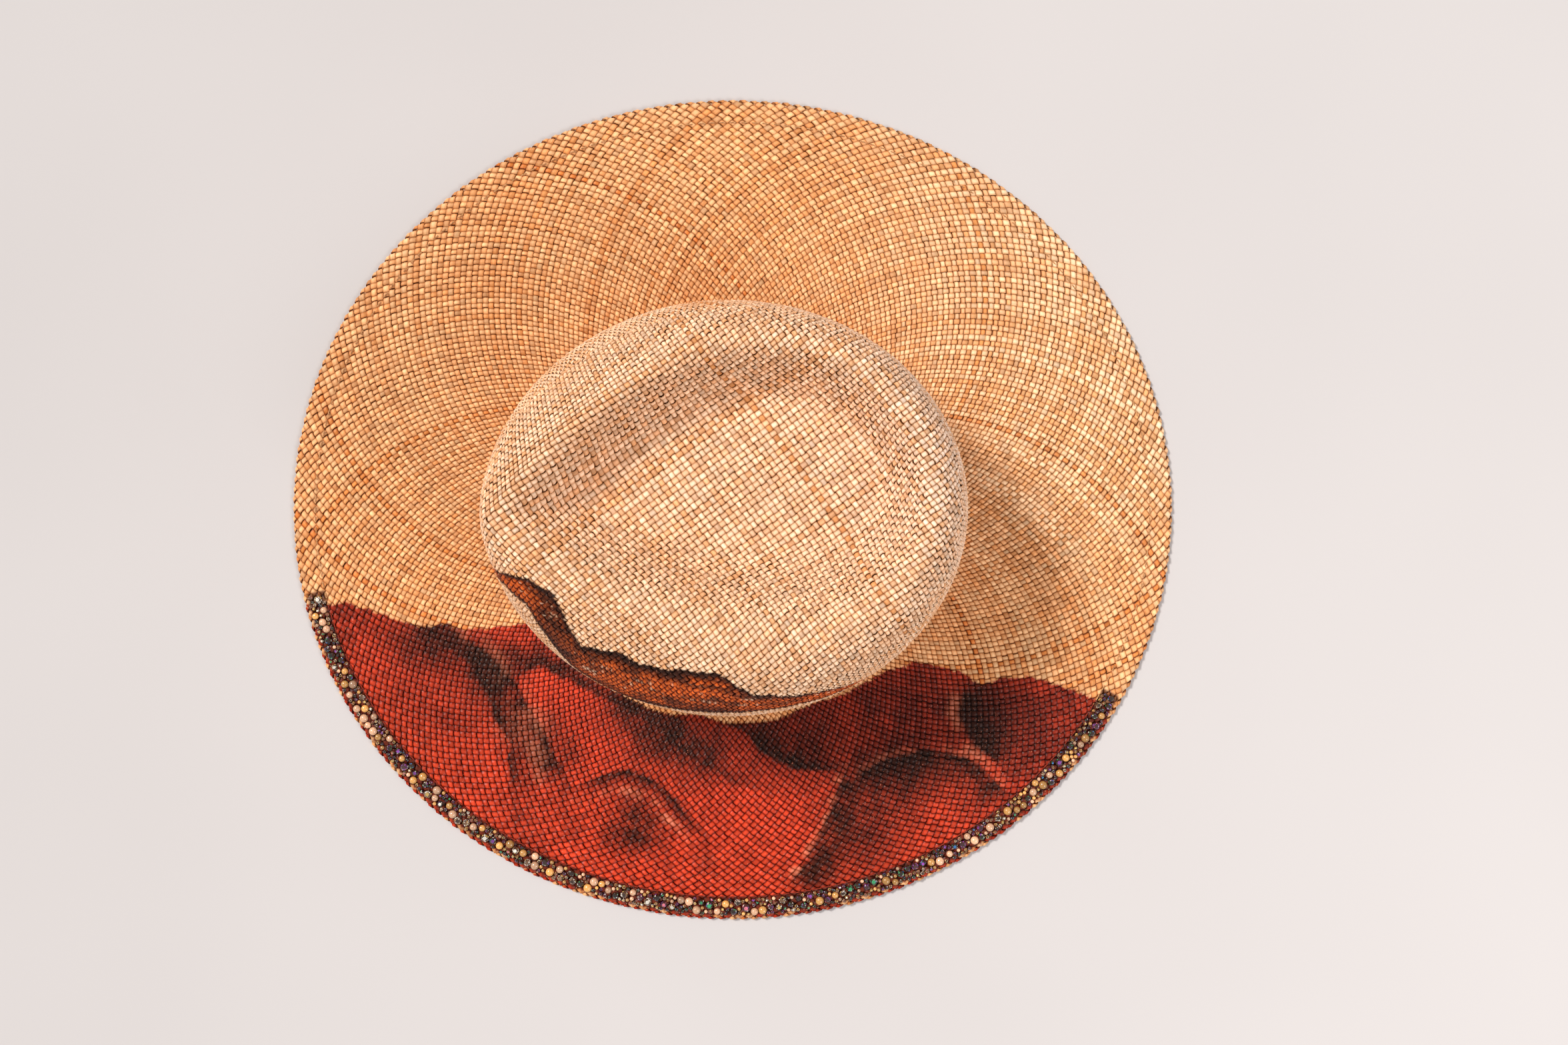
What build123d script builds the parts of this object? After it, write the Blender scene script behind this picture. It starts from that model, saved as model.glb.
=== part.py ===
"""Wide-brimmed woven straw hat with a teardrop crown.

The frame has its origin on the floor under the middle of the brim.  +Z is up, -Y is the front, where
the crown's crease comes to a point, and +X is the wearer's left, where the rhinestones are.
All sizes are in millimetres.
"""

from build123d import *
from collections import namedtuple
from math import atan2, cos, degrees, hypot, pi, radians, sin
from random import Random
import os

# ---- Brim ------------------------------------------------------------------------------------------
BRIM_HALF_X = 191.9          # half the hat's width
BRIM_HALF_Y = 205.8          # half the hat's length
STRAW = 1.2                  # thickness of the woven straw
HEM_THICK = 1.6              # straw folded under the edge, pressed flat
HEM_WIDTH = 12.5
FLAT_EDGE = 15.0             # the outer part of the brim lies flat
ROOT_Z = 5.5                 # top of the brim where it turns up into the crown
ROOT_REACH = 0.10            # how far across the brim that turn begins, from 0 at the crown to 1
ROOT_TURN = ((0.055, 5.9), (0.03, 6.9), (0.014, 8.6), (0.004, 11.2))     # reach and height through the turn
BRIM_SLOPE = ((0.55, 3.55), (0.3, 4.5))                                  # and up the slope before it
EDGE_ROUND = 0.7
WALL_Z = 15.0                # the turn from brim to wall ends here

# ---- Crown -----------------------------------------------------------------------------------------
CROWN_HALF_X = 89.3          # at the start of the shoulder
CROWN_HALF_Y = 102.8
FOOT_SPREAD = 0.017          # the wall leans out by this share towards its foot
SHOULDER_Z = 58.0            # the wall is straight below this height
RIM_Z = 105.0                # top of the ridge round the crease
RIM_FALL = 0.032             # the ridge drops towards the back by this slope
RIM_HALF_WIDTH = 61.0
RIM_HALF_LENGTH = 89.0
RIM_MIDDLE = (-3.9, -5.0)
TIP_SHARPNESS = 0.7          # 0 makes the crease an oval, 1 a sharp point
TEARDROP_PEAK = 0.853        # the widest that the teardrop's formula gets at that sharpness
TIP_SWAY = 4.0               # the tip stands to the wearer's left of the ridge's middle
BOW = 4.9                    # and the line down the middle of the crease is bowed
CREASE_DEPTH = 25.0
FLOOR_HALF_WIDTH = 30.0
FLOOR_HALF_LENGTH = 57.0
FLOOR_MIDDLE = (-11.0, 5.0)
FLOOR_CROWNING = 2.0         # the bottom of the crease bulges up a little
PINCH = {70.0: 0.12, 305.0: 0.09}    # hollows in the front quarters: turn in degrees, share of the slope
PINCH_SPREAD = 34.0

# ---- Sweatband -------------------------------------------------------------------------------------
BAND_GAP = 0.4
BAND_THICK = 0.9
BAND_LOW = 4.0
BAND_HIGH = 36.0
REED_RADIUS = 1.0
REED_Z = 6.2
BAND_STITCH_Z = 9.0
BAND_STITCHES = 132
BAND_STITCH_LONG = 3.0
BAND_STITCH_HIGH = 0.25
SEAM_WIDTH = 7.0             # the tape over the joint of the band's ends
SEAM_THICK = 0.5
SEAM_MARGIN = 1.5            # from the band's upper edge
BOW_Z = 28.0
BOW_HALF = 9.0
BOW_THICK = 1.2
LOOP_RISE = 0.6              # the loops stand this far above the bow's middle
LOOP_HALF_HEIGHT = 2.6
RIBBON_WIDTH = 1.6
KNOT_SIZE = (3.0, 2.0, 3.4)
TAG_TURN = 165.0
TAG_Z = 26.0
TAG_SIZE = (18.0, 11.0)
TAG_THICK = 0.5
CLEARANCE = 0.02             # between pieces that are sewn or glued against each other

# ---- Wire in the brim's edge -----------------------------------------------------------------------
WIRE_WIDTH = 1.0             # flat spring wire
WIRE_HEIGHT = 0.9
WIRE_INSET = 2.4
GROOVE_WIDTH = 1.2
JOINER_LENGTH = 16.0
JOINER_WIDTH = 1.5
JOINER_SLACK = 0.3           # the pocket in the hem is this much larger than the joiner

# ---- Hem stitches ----------------------------------------------------------------------------------
HEM_STITCH_INSET = 10.9
HEM_STITCHES = 232
STITCH_LONG = 2.8
STITCH_WIDE = 0.5
STITCH_HIGH = 0.3

# ---- Rhinestones -----------------------------------------------------------------------------------
STONE_TURNS = (12.6, 152.0)  # where the band starts and ends, in degrees from the front
STONE_INSETS = (2.0, 10.4)   # from the brim's edge
GIRDLE = 0.18                # a stone's girdle, table and height, as shares of its radius
TABLE = 0.55
STONE_HEIGHT = 0.80
STONE_GAP = 0.08
LARGE_STEP = 0.55            # degrees from one try for a large stone to the next
SMALL_STEP = 0.03
SMALL_TRIES = 14
CLOSE_TURN = 3.0             # stones further apart than this can't touch
STONE_SIZES = {"large": (1.55, 1.75, 1.95), "small": (0.85, 1.0, 1.1)}
STONE_COLOURS = {"jet": 0.30, "gold": 0.25, "peach": 0.20, "crystal": 0.14, "violet": 0.11}

TURNS = 24                   # points round each of the crown's sections
HEM_TOP = HEM_THICK + STRAW
WIRE_Z = HEM_THICK - GROOVE_WIDTH / 2
BAND_HALF_X = CROWN_HALF_X - STRAW - BAND_GAP
BAND_HALF_Y = CROWN_HALF_Y - STRAW - BAND_GAP
STANDING = (Align.CENTER, Align.CENTER, Align.MIN)

Station = namedtuple("Station", "height outline fall")


# ---- Outlines --------------------------------------------------------------------------------------
def oval_point(half_x, half_y, turn):
    """A point of an oval, counted in degrees from the front towards the wearer's left."""
    return half_x * sin(radians(turn)), -half_y * cos(radians(turn))


def teardrop_point(half_width, half_length, middle, turn):
    """A point of an oval drawn out to a tip at the front."""
    angle = radians(turn)
    swell = sin(angle) * abs(sin(angle / 2)) ** TIP_SHARPNESS / TEARDROP_PEAK
    size = half_length / RIM_HALF_LENGTH
    sway = size * (TIP_SWAY * cos(angle) + BOW * cos(2 * angle))
    return middle[0] + sway + half_width * swell, middle[1] - half_length * cos(angle)


def between(start, end, share):
    """The point that lies this share of the way from start to end."""
    return tuple(a + (b - a) * share for a, b in zip(start, end))


def foot_point(turn, height=0.0):
    """The crown's straight wall, which leans out a little towards its foot."""
    lean = 1 + FOOT_SPREAD * (1 - min(height / SHOULDER_Z, 1))
    return oval_point(CROWN_HALF_X * lean, CROWN_HALF_Y * lean, turn)


def rim_point(turn):
    return teardrop_point(RIM_HALF_WIDTH, RIM_HALF_LENGTH, RIM_MIDDLE, turn)


def floor_point(turn):
    return teardrop_point(FLOOR_HALF_WIDTH, FLOOR_HALF_LENGTH, FLOOR_MIDDLE, turn)


def brim_point(turn, reach):
    """A point of the brim, from 0 at the crown's foot to 1 at the edge."""
    return between(foot_point(turn), oval_point(BRIM_HALF_X, BRIM_HALF_Y, turn), reach)


def shoulder_point(turn, climb):
    """A point of the shoulder, from 0 at the wall to 90 degrees at the ridge."""
    share = 1 - cos(radians(climb))
    for place, depth in PINCH.items():
        away = (turn - place + 180) % 360 - 180
        if abs(away) < PINCH_SPREAD:
            share += depth * 4 * share * (1 - share) * cos(radians(90 * away / PINCH_SPREAD)) ** 2
    return between(foot_point(turn, SHOULDER_Z), rim_point(turn), share)


def wall_station(height):
    return Station(height, lambda turn: foot_point(turn, height), 0.0)


def brim_station(reach, height):
    return Station(height, lambda turn: brim_point(turn, reach), 0.0)


def shoulder_station(climb):
    height = SHOULDER_Z + (RIM_Z - SHOULDER_Z) * sin(radians(climb))
    return Station(height, lambda turn: shoulder_point(turn, climb), RIM_FALL * sin(radians(climb)))


def crease_station(share):
    height = RIM_Z - CREASE_DEPTH * (1 - cos(pi * share)) / 2
    return Station(height, lambda turn: between(rim_point(turn), floor_point(turn), share), RIM_FALL)


def floor_station(share):
    height = RIM_Z - CREASE_DEPTH + FLOOR_CROWNING * (1 - (1 - share) ** 2)
    return Station(height, lambda turn: between(floor_point(turn), FLOOR_MIDDLE, share), RIM_FALL)


def crown_stations():
    """The crown's sections in runs that each make one smooth skin; neighbouring runs share a section."""
    root = [(ROOT_REACH, ROOT_Z), *ROOT_TURN]
    return {
        "root": [brim_station(*place) for place in root] + [wall_station(WALL_Z)],
        "wall": [wall_station(height) for height in (WALL_Z, 26.0, 42.0, SHOULDER_Z)]
        + [shoulder_station(climb) for climb in (18.0, 36.0, 52.0, 66.0, 79.0, 90.0)],
        "crease": [crease_station(share) for share in (0.0, 0.12, 0.26, 0.42, 0.58, 0.74, 0.88, 1.0)],
        "floor": [floor_station(share) for share in (0.0, 0.3, 0.6, 0.88)],
    }


def mean_radius(station):
    reaches = [hypot(*station.outline(turn)) for turn in range(0, 360, 30)]
    return sum(reaches) / len(reaches)


def inner_station(before, here, after):
    """The same section on the inside of the straw, moved in and down across its thickness."""
    lean = atan2(mean_radius(before) - mean_radius(after), after.height - before.height)

    def outline(turn):
        x, y = here.outline(turn)
        size = hypot(x - FLOOR_MIDDLE[0], y - FLOOR_MIDDLE[1])
        return between((x, y), FLOOR_MIDDLE, STRAW * cos(lean) / size)

    return Station(here.height - STRAW * sin(lean), outline, here.fall)


def inner_stations():
    """The crown's sections on the inside of the straw, in the same runs."""
    flat = brim_station(ROOT_REACH + 0.02, ROOT_Z)
    chain = [flat] + [station for run in crown_stations().values() for station in run]
    runs = {}
    place = 0
    for name, run in crown_stations().items():
        runs[name] = []
        for _ in run:
            place += 1
            before = chain[place - 1]
            after = chain[min(place + 1, len(chain) - 1)]
            if before.height == chain[place].height and place > 1:
                before = chain[place - 2]
            if after.height == chain[place].height and place + 2 < len(chain):
                after = chain[place + 2]
            runs[name].append(inner_station(before, chain[place], after))
    return runs


def section_plane(station):
    """Sections above the wall tip back, because the ridge drops towards the back."""
    return Plane(origin=(0, 0, station.height), x_dir=(1, 0, 0), z_dir=(0, station.fall, 1))


def draw_section(station):
    """One closed curve through evenly spaced turns, as a sketch."""
    with BuildSketch(section_plane(station)) as section:
        with BuildLine():
            points = [station.outline(360 / TURNS * number) for number in range(TURNS)]
            add(Edge.make_spline(points, periodic=True, parameters=list(range(TURNS + 1))))
        make_face()
    return section.sketch


def crown_form(runs):
    """The crown as a full block: wall and ridge, with the crease pressed into its top."""
    with BuildPart() as form:
        crease = [draw_section(station) for station in reversed(runs["crease"])]
        loft([draw_section(station) for station in runs["wall"]])
        loft(crease, ruled=True, mode=Mode.SUBTRACT)
        loft([draw_section(station) for station in runs["floor"]], ruled=True)
        loft([draw_section(station) for station in runs["root"]], ruled=True)
    return form.part


def brim_stations(drop):
    """The brim's sections from the flat edge up its shallow rise, short of the turn into the crown."""
    flat_reach = 1 - FLAT_EDGE / (BRIM_HALF_Y - CROWN_HALF_Y)
    slope = [(flat_reach, HEM_TOP), *BRIM_SLOPE]
    return [brim_station(reach, height - drop) for reach, height in slope]


def brim_form(stations):
    """The brim as a full block; the last section is the one that the crown starts from."""
    with BuildPart() as form:
        loft([draw_section(station) for station in stations], ruled=True)
    return form.part


def oval_ring(height, thickness, half_x, half_y, width):
    """A level ring that follows an oval; its width is measured inwards."""
    with BuildPart() as ring:
        with BuildSketch(Plane.XY.offset(height)):
            Ellipse(half_x, half_y)
            Ellipse(half_x - width, half_y - width, mode=Mode.SUBTRACT)
        extrude(amount=thickness)
    return ring.part


def oval_heading(half_x, half_y, turn):
    """The direction along an oval, in degrees from +X."""
    return degrees(atan2(half_y * sin(radians(turn)), half_x * cos(radians(turn))))


def oval_places(half_x, half_y, count):
    """Evenly spaced places along an oval: the turn, the point and the heading of each."""
    steps = 2000
    turns = [360 * step / steps for step in range(steps + 1)]
    points = [oval_point(half_x, half_y, turn) for turn in turns]
    runs = [0.0]
    for start, end in zip(points, points[1:]):
        runs.append(runs[-1] + hypot(end[0] - start[0], end[1] - start[1]))
    places = []
    step = 0
    for number in range(count):
        target = runs[-1] * number / count
        while runs[step + 1] < target:
            step += 1
        turn = turns[step]
        places.append((turn, points[step], oval_heading(half_x, half_y, turn)))
    return places


def scattered(solid, locations):
    """Copies of one small solid, kept as separate solids in one group."""
    return Compound(children=[solid.moved(location) for location in locations])


def save(shape, name):
    shape.label = name
    export_step(shape, f"parts/{name}.step")


# ---- Woven straw -----------------------------------------------------------------------------------
def make_woven_body():
    """Brim and crown in one piece: the outside form, less the same form on the straw's inner side."""
    outside = crown_stations()
    inside = inner_stations()
    with BuildPart() as woven_body:
        with BuildSketch(Plane.XY.offset(HEM_THICK)):
            Ellipse(BRIM_HALF_X, BRIM_HALF_Y)
        extrude(amount=STRAW)
        rim = woven_body.edges().group_by(Axis.Z)[-1]
        fillet(rim, EDGE_ROUND)
        add(brim_form(brim_stations(0.0) + outside["root"][:1]))
        add(crown_form(outside))
        add(brim_form(brim_stations(STRAW) + inside["root"][:1]), mode=Mode.SUBTRACT)
        add(crown_form(inside), mode=Mode.SUBTRACT)
    return woven_body.part


# ---- Brim edge -------------------------------------------------------------------------------------
def make_brim_hem():
    """The straw folded under the edge, with a groove on its upper side for the wire."""
    groove_floor = HEM_THICK - GROOVE_WIDTH
    with BuildPart() as brim_hem:
        with BuildSketch():
            Ellipse(BRIM_HALF_X, BRIM_HALF_Y)
            Ellipse(BRIM_HALF_X - HEM_WIDTH, BRIM_HALF_Y - HEM_WIDTH, mode=Mode.SUBTRACT)
        extrude(amount=HEM_THICK)
        outer = brim_hem.edges().group_by(Axis.Z)[0].sort_by(SortBy.LENGTH)[-1]
        fillet(outer, EDGE_ROUND)
        half_x = BRIM_HALF_X - WIRE_INSET + GROOVE_WIDTH / 2
        half_y = BRIM_HALF_Y - WIRE_INSET + GROOVE_WIDTH / 2
        groove = oval_ring(groove_floor, GROOVE_WIDTH, half_x, half_y, GROOVE_WIDTH)
        add(groove, mode=Mode.SUBTRACT)
        with Locations((0, BRIM_HALF_Y - WIRE_INSET, groove_floor)):
            pocket_length = JOINER_LENGTH + 2 * JOINER_SLACK
            pocket_width = JOINER_WIDTH + JOINER_SLACK
            Box(pocket_length, pocket_width, GROOVE_WIDTH, align=STANDING, mode=Mode.SUBTRACT)
    return brim_hem.part


def make_brim_wire():
    """Flat spring wire bent into an oval, which keeps the wide brim in shape."""
    half_x = BRIM_HALF_X - WIRE_INSET + WIRE_WIDTH / 2
    half_y = BRIM_HALF_Y - WIRE_INSET + WIRE_WIDTH / 2
    return oval_ring(WIRE_Z - WIRE_HEIGHT / 2, WIRE_HEIGHT, half_x, half_y, WIRE_WIDTH)


def make_wire_joiner(wire):
    """A crimped sleeve over the two ends of the wire, at the back of the brim."""
    with BuildPart() as wire_joiner:
        with Locations((0, BRIM_HALF_Y - WIRE_INSET, WIRE_Z)):
            Box(JOINER_LENGTH, JOINER_WIDTH, GROOVE_WIDTH - 2 * CLEARANCE)
        fillet(wire_joiner.edges().filter_by(Axis.X), JOINER_WIDTH / 5)
        add(wire, mode=Mode.SUBTRACT)
    return wire_joiner.part


def stitch_form(length, width, height):
    """The part of a stitch that shows: a flat bar of thread with softened upper edges."""
    with BuildPart() as stitch:
        Box(length, width, height, align=STANDING)
        fillet(stitch.edges().group_by(Axis.Z)[-1], height * 0.45)
    return stitch.part


def make_hem_stitches():
    half_x = BRIM_HALF_X - HEM_STITCH_INSET
    half_y = BRIM_HALF_Y - HEM_STITCH_INSET
    places = oval_places(half_x, half_y, HEM_STITCHES)
    locations = [Location((x, y, HEM_TOP), (0, 0, heading)) for _, (x, y), heading in places]
    return scattered(stitch_form(STITCH_LONG, STITCH_WIDE, STITCH_HIGH), locations)


# ---- Sweatband -------------------------------------------------------------------------------------
def make_sweatband():
    """A flat band inside the foot of the crown, with a rolled lower edge that holds the reed."""
    with BuildPart() as sweatband:
        with BuildSketch(Plane.XY.offset(BAND_LOW)):
            Ellipse(BAND_HALF_X, BAND_HALF_Y)
            Ellipse(BAND_HALF_X - BAND_THICK, BAND_HALF_Y - BAND_THICK, mode=Mode.SUBTRACT)
        extrude(amount=BAND_HIGH - BAND_LOW)
        fillet(sweatband.edges().group_by(Axis.Z)[-1], BAND_THICK * 0.4)
        fillet(sweatband.edges().group_by(Axis.Z)[0], BAND_THICK * 0.4)
    return sweatband.part


def make_sweatband_reed():
    """The round stiffening cord behind the band's lower edge."""
    half_x = BAND_HALF_X + REED_RADIUS + CLEARANCE
    half_y = BAND_HALF_Y + REED_RADIUS + CLEARANCE
    with BuildPart() as sweatband_reed:
        with BuildLine(Plane.XY.offset(REED_Z)) as path:
            EllipticalCenterArc((0, 0), half_x, half_y, 0, arc_size=180)
            EllipticalCenterArc((0, 0), half_x, half_y, 180, arc_size=180)
        with BuildSketch(Plane(origin=(half_x, 0, REED_Z), x_dir=(1, 0, 0), z_dir=(0, 1, 0))):
            Circle(REED_RADIUS)
        sweep(path=path.line)
    return sweatband_reed.part


def make_sweatband_stitches():
    half_x = BAND_HALF_X - BAND_THICK
    half_y = BAND_HALF_Y - BAND_THICK
    locations = []
    for _, (x, y), heading in oval_places(half_x, half_y, BAND_STITCHES):
        inwards = Vector(-sin(radians(heading)), cos(radians(heading)), 0)
        along = Vector(cos(radians(heading)), sin(radians(heading)), 0)
        origin = Vector(x, y, BAND_STITCH_Z) + inwards * CLEARANCE * 1.5
        face = Plane(origin=origin, x_dir=along, z_dir=inwards)
        locations.append(Location(face))
    return scattered(stitch_form(BAND_STITCH_LONG, STITCH_WIDE, BAND_STITCH_HIGH), locations)


def make_sweatband_seam():
    """The narrow tape over the joint of the band's two ends, at the back."""
    length = BAND_HIGH - BAND_STITCH_Z - 5.0
    with BuildPart() as sweatband_seam:
        with Locations((0, BAND_HALF_Y - BAND_THICK - 0.1, BAND_HIGH - SEAM_MARGIN)):
            Box(SEAM_WIDTH, SEAM_THICK, length, align=(Align.CENTER, Align.MAX, Align.MAX))
        fillet(sweatband_seam.edges().filter_by(Axis.Z), SEAM_THICK * 0.4)
    return sweatband_seam.part


def make_sweatband_bow():
    """A small flat ribbon bow in front of the seam, its knot and two loops in one ribbon."""
    face_y = BAND_HALF_Y - BAND_THICK - 0.8
    loops = [(-BOW_HALF / 2, LOOP_RISE), (BOW_HALF / 2, LOOP_RISE)]
    left_tail = [(0, LOOP_RISE), (-5.5, -6.5), (-3.0, -7.5), (0, -1.4)]
    right_tail = [(3.0, -7.5), (5.5, -6.5)]
    with BuildPart() as sweatband_bow:
        with BuildSketch(Plane(origin=(0, face_y, BOW_Z), x_dir=(1, 0, 0), z_dir=(0, -1, 0))):
            with Locations(*loops):
                Ellipse(BOW_HALF / 2, LOOP_HALF_HEIGHT)
            with Locations(*loops):
                Ellipse(BOW_HALF / 2 - RIBBON_WIDTH, LOOP_HALF_HEIGHT - RIBBON_WIDTH, mode=Mode.SUBTRACT)
            with BuildLine():
                Polyline(*left_tail, *right_tail, close=True)
            make_face()
        extrude(amount=BOW_THICK)
        with Locations((0, face_y, BOW_Z + LOOP_RISE)):
            Box(*KNOT_SIZE, align=(Align.CENTER, Align.MAX, Align.CENTER))
        fillet(sweatband_bow.faces().sort_by(Axis.Y)[0].edges(), BOW_THICK / 3)
    return sweatband_bow.part


def make_size_tag():
    """A plain folded tab sewn under the top of the band, left of the seam; it carries no text."""
    half_x = BAND_HALF_X - BAND_THICK
    half_y = BAND_HALF_Y - BAND_THICK
    x, y = oval_point(half_x, half_y, TAG_TURN)
    heading = oval_heading(half_x, half_y, TAG_TURN)
    inwards = Vector(-sin(radians(heading)), cos(radians(heading)), 0)
    along = Vector(cos(radians(heading)), sin(radians(heading)), 0)
    chord_gap = 0.65
    origin = Vector(x, y, TAG_Z) + inwards * chord_gap
    with BuildPart() as size_tag:
        with BuildSketch(Plane(origin=origin, x_dir=along, z_dir=inwards)):
            RectangleRounded(*TAG_SIZE, 1.0)
        extrude(amount=TAG_THICK)
    return size_tag.part


# ---- Rhinestones -----------------------------------------------------------------------------------
def stone_form(radius):
    """A flat-backed stone: a short girdle, a sloping crown and a flat table."""
    table = TABLE * radius
    girdle = GIRDLE * radius
    height = STONE_HEIGHT * radius
    with BuildPart() as stone:
        with BuildSketch(Plane.XZ):
            with BuildLine():
                Polyline((0, 0), (radius, 0), (radius, girdle), (table, height), (0, height), close=True)
            make_face()
        revolve(axis=Axis.Z)
    return stone.part


def scatter_stones():
    """Places for the stones: large ones first, then small ones fill the band, and none touch."""
    random = Random(20)
    placed = []
    for size, step, tries in (("large", LARGE_STEP, 1), ("small", SMALL_STEP, SMALL_TRIES)):
        turn = STONE_TURNS[0]
        while turn < STONE_TURNS[1]:
            turn += step
            close = [stone for stone in placed if abs(stone[4] - turn) < CLOSE_TURN]
            for _ in range(tries):
                radius = random.choice(STONE_SIZES[size])
                inset = random.uniform(STONE_INSETS[0] + radius, STONE_INSETS[1] - radius)
                x, y = oval_point(BRIM_HALF_X - inset, BRIM_HALF_Y - inset, turn)
                if all(hypot(x - px, y - py) > radius + near + STONE_GAP for px, py, near, _, _ in close):
                    colour = random.choices(list(STONE_COLOURS), list(STONE_COLOURS.values()))[0]
                    placed.append((x, y, radius, f"rhinestones_{colour}_{size}", turn))
                    close.append(placed[-1])
    return placed


def make_rhinestones():
    """Each colour and size is one group of separate stones."""
    forms = {radius: stone_form(radius) for radii in STONE_SIZES.values() for radius in radii}
    groups = {}
    for x, y, radius, name, _ in scatter_stones():
        stone = forms[radius].moved(Location((x, y, HEM_TOP + CLEARANCE)))
        groups.setdefault(name, []).append(stone)
    return {name: Compound(children=stones) for name, stones in groups.items()}


os.makedirs("parts", exist_ok=True)
wire = make_brim_wire()
save(make_woven_body(), "woven_body")
save(make_brim_hem(), "brim_hem")
save(wire, "brim_wire")
save(make_wire_joiner(wire), "wire_joiner")
save(make_hem_stitches(), "hem_stitches")
save(make_sweatband(), "sweatband")
save(make_sweatband_reed(), "sweatband_reed")
save(make_sweatband_stitches(), "sweatband_stitches")
save(make_sweatband_seam(), "sweatband_seam")
save(make_sweatband_bow(), "sweatband_bow")
save(make_size_tag(), "size_tag")
for group_name, group in make_rhinestones().items():
    save(group, group_name)
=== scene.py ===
"""Woven straw hat, lying brim down: the looks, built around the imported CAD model.

Shapes are worked out in millimetres, in the CAD frame: +Z up, -Y the front, +X the wearer's left.
A "turn" runs from 0 at the front through 90 degrees at the wearer's left, and is held in radians here.
"""

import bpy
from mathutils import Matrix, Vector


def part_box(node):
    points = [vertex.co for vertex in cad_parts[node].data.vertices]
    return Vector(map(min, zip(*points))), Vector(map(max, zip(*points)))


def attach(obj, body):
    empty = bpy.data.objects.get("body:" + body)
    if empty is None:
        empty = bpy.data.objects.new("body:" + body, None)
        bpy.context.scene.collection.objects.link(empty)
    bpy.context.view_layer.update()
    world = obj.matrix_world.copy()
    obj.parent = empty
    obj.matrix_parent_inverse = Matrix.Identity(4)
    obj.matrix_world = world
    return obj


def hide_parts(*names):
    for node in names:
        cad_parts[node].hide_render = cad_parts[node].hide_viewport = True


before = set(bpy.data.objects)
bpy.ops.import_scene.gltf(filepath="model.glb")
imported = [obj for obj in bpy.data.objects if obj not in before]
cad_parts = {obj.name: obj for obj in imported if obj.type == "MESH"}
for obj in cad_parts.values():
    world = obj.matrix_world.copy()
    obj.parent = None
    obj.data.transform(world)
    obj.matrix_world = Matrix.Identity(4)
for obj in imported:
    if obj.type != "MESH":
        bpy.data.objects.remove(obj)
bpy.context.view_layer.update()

import math

import bpy
import numpy as np
from mathutils import Vector

MM = 0.001
TAU = 2 * math.pi
rng = np.random.default_rng(11)

# ---- Sizes from the frame ----
hat_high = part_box("woven_body")[1]
hem_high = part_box("brim_hem")[1]
BRIM_HALF_X = hat_high.x / MM
BRIM_HALF_Y = hat_high.y / MM
HEM_THICK = hem_high.z / MM

# ---- The hat's form, as the CAD model has it, in mm ----
STRAW = 1.2  # thickness of the straw
HEM_TOP = HEM_THICK + STRAW
FLAT_EDGE = 15.0  # how far in from its edge the brim is flat
ROOT_REACH = 0.10  # the brim's start, as a share of its width
ROOT_Z = 5.5
ROOT_BEND = 2.8  # how square the turn from wall to brim is
BRIM_CURVE = 1.45  # how soon the brim flattens on its way out
WALL_Z = 15.0
CROWN_HALF_X = 89.3
CROWN_HALF_Y = 102.8
FOOT_SPREAD = 0.017  # how much wider the crown is at its foot
SHOULDER_Z = 58.0
RIM_Z = 105.0
RIM_FALL = 0.032  # slope of the top, down towards the back
RIM_HALF_WIDTH = 61.0
RIM_HALF_LENGTH = 89.0
RIM_MIDDLE = (-3.9, -5.0)
TIP_SHARPNESS = 0.7
SWELL_PEAK = 0.853  # the most that the teardrop's width reaches with this sharpness
TIP_SWAY = 4.0
BOW = 4.9
CREASE_DEPTH = 25.0
FLOOR_HALF_WIDTH = 30.0
FLOOR_HALF_LENGTH = 57.0
FLOOR_MIDDLE = (-11.0, 5.0)
FLOOR_CROWNING = 2.0
PINCH = {70.0: 0.12, 305.0: 0.09}  # place and depth of the two finger dents
PINCH_SPREAD = 34.0
GROOVE_WIDTH = 0.7  # the groove that the hem's stitches pull into the brim
GROOVE_DEPTH = 0.28

# ---- The weave ----
RING_STRANDS = 256  # strands of each family round the wall and the brim
WALL_SLANT = 36.0  # their angle to the meridian at the wall, in degrees
EDGE_SLANT = 53.0  # and at the brim's edge
SLANT_START = 10.0  # how far above the foot the angle starts to change, in mm
TOP_PITCH = 2.6  # strand spacing of the square weave on top of the crown
TOP_SPACING = 0.92  # share of it that the strands' heights there go by
TOP_SLANT = 36.0  # its rows' direction, in degrees from the crease
SEAM_CLIMB = 40.0  # how far up the shoulder the top's weave ends, in degrees
SEAM_OVERLAP = 2.2  # how far above that the ring weave starts, in mm
STRAND_WAVE = 0.23  # height of a strand's wave, as a share of its spacing
STRAND_WIDTH = 0.89  # its mean width on top of the crown, as a share of its spacing
RING_WIDTHS = {1: 0.80, -1: 0.97}  # and of the two families round the wall and the brim
STRAND_CROWNING = 0.15  # how much lower its edges lie than its middle
HEM_REACH = 12.5  # how far the straw is folded under
STITCH_INSET = 10.9  # the stitches' distance from the brim's edge
FOLD_CENTRE = 1.4  # how far inside the edge the fold turns about

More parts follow.
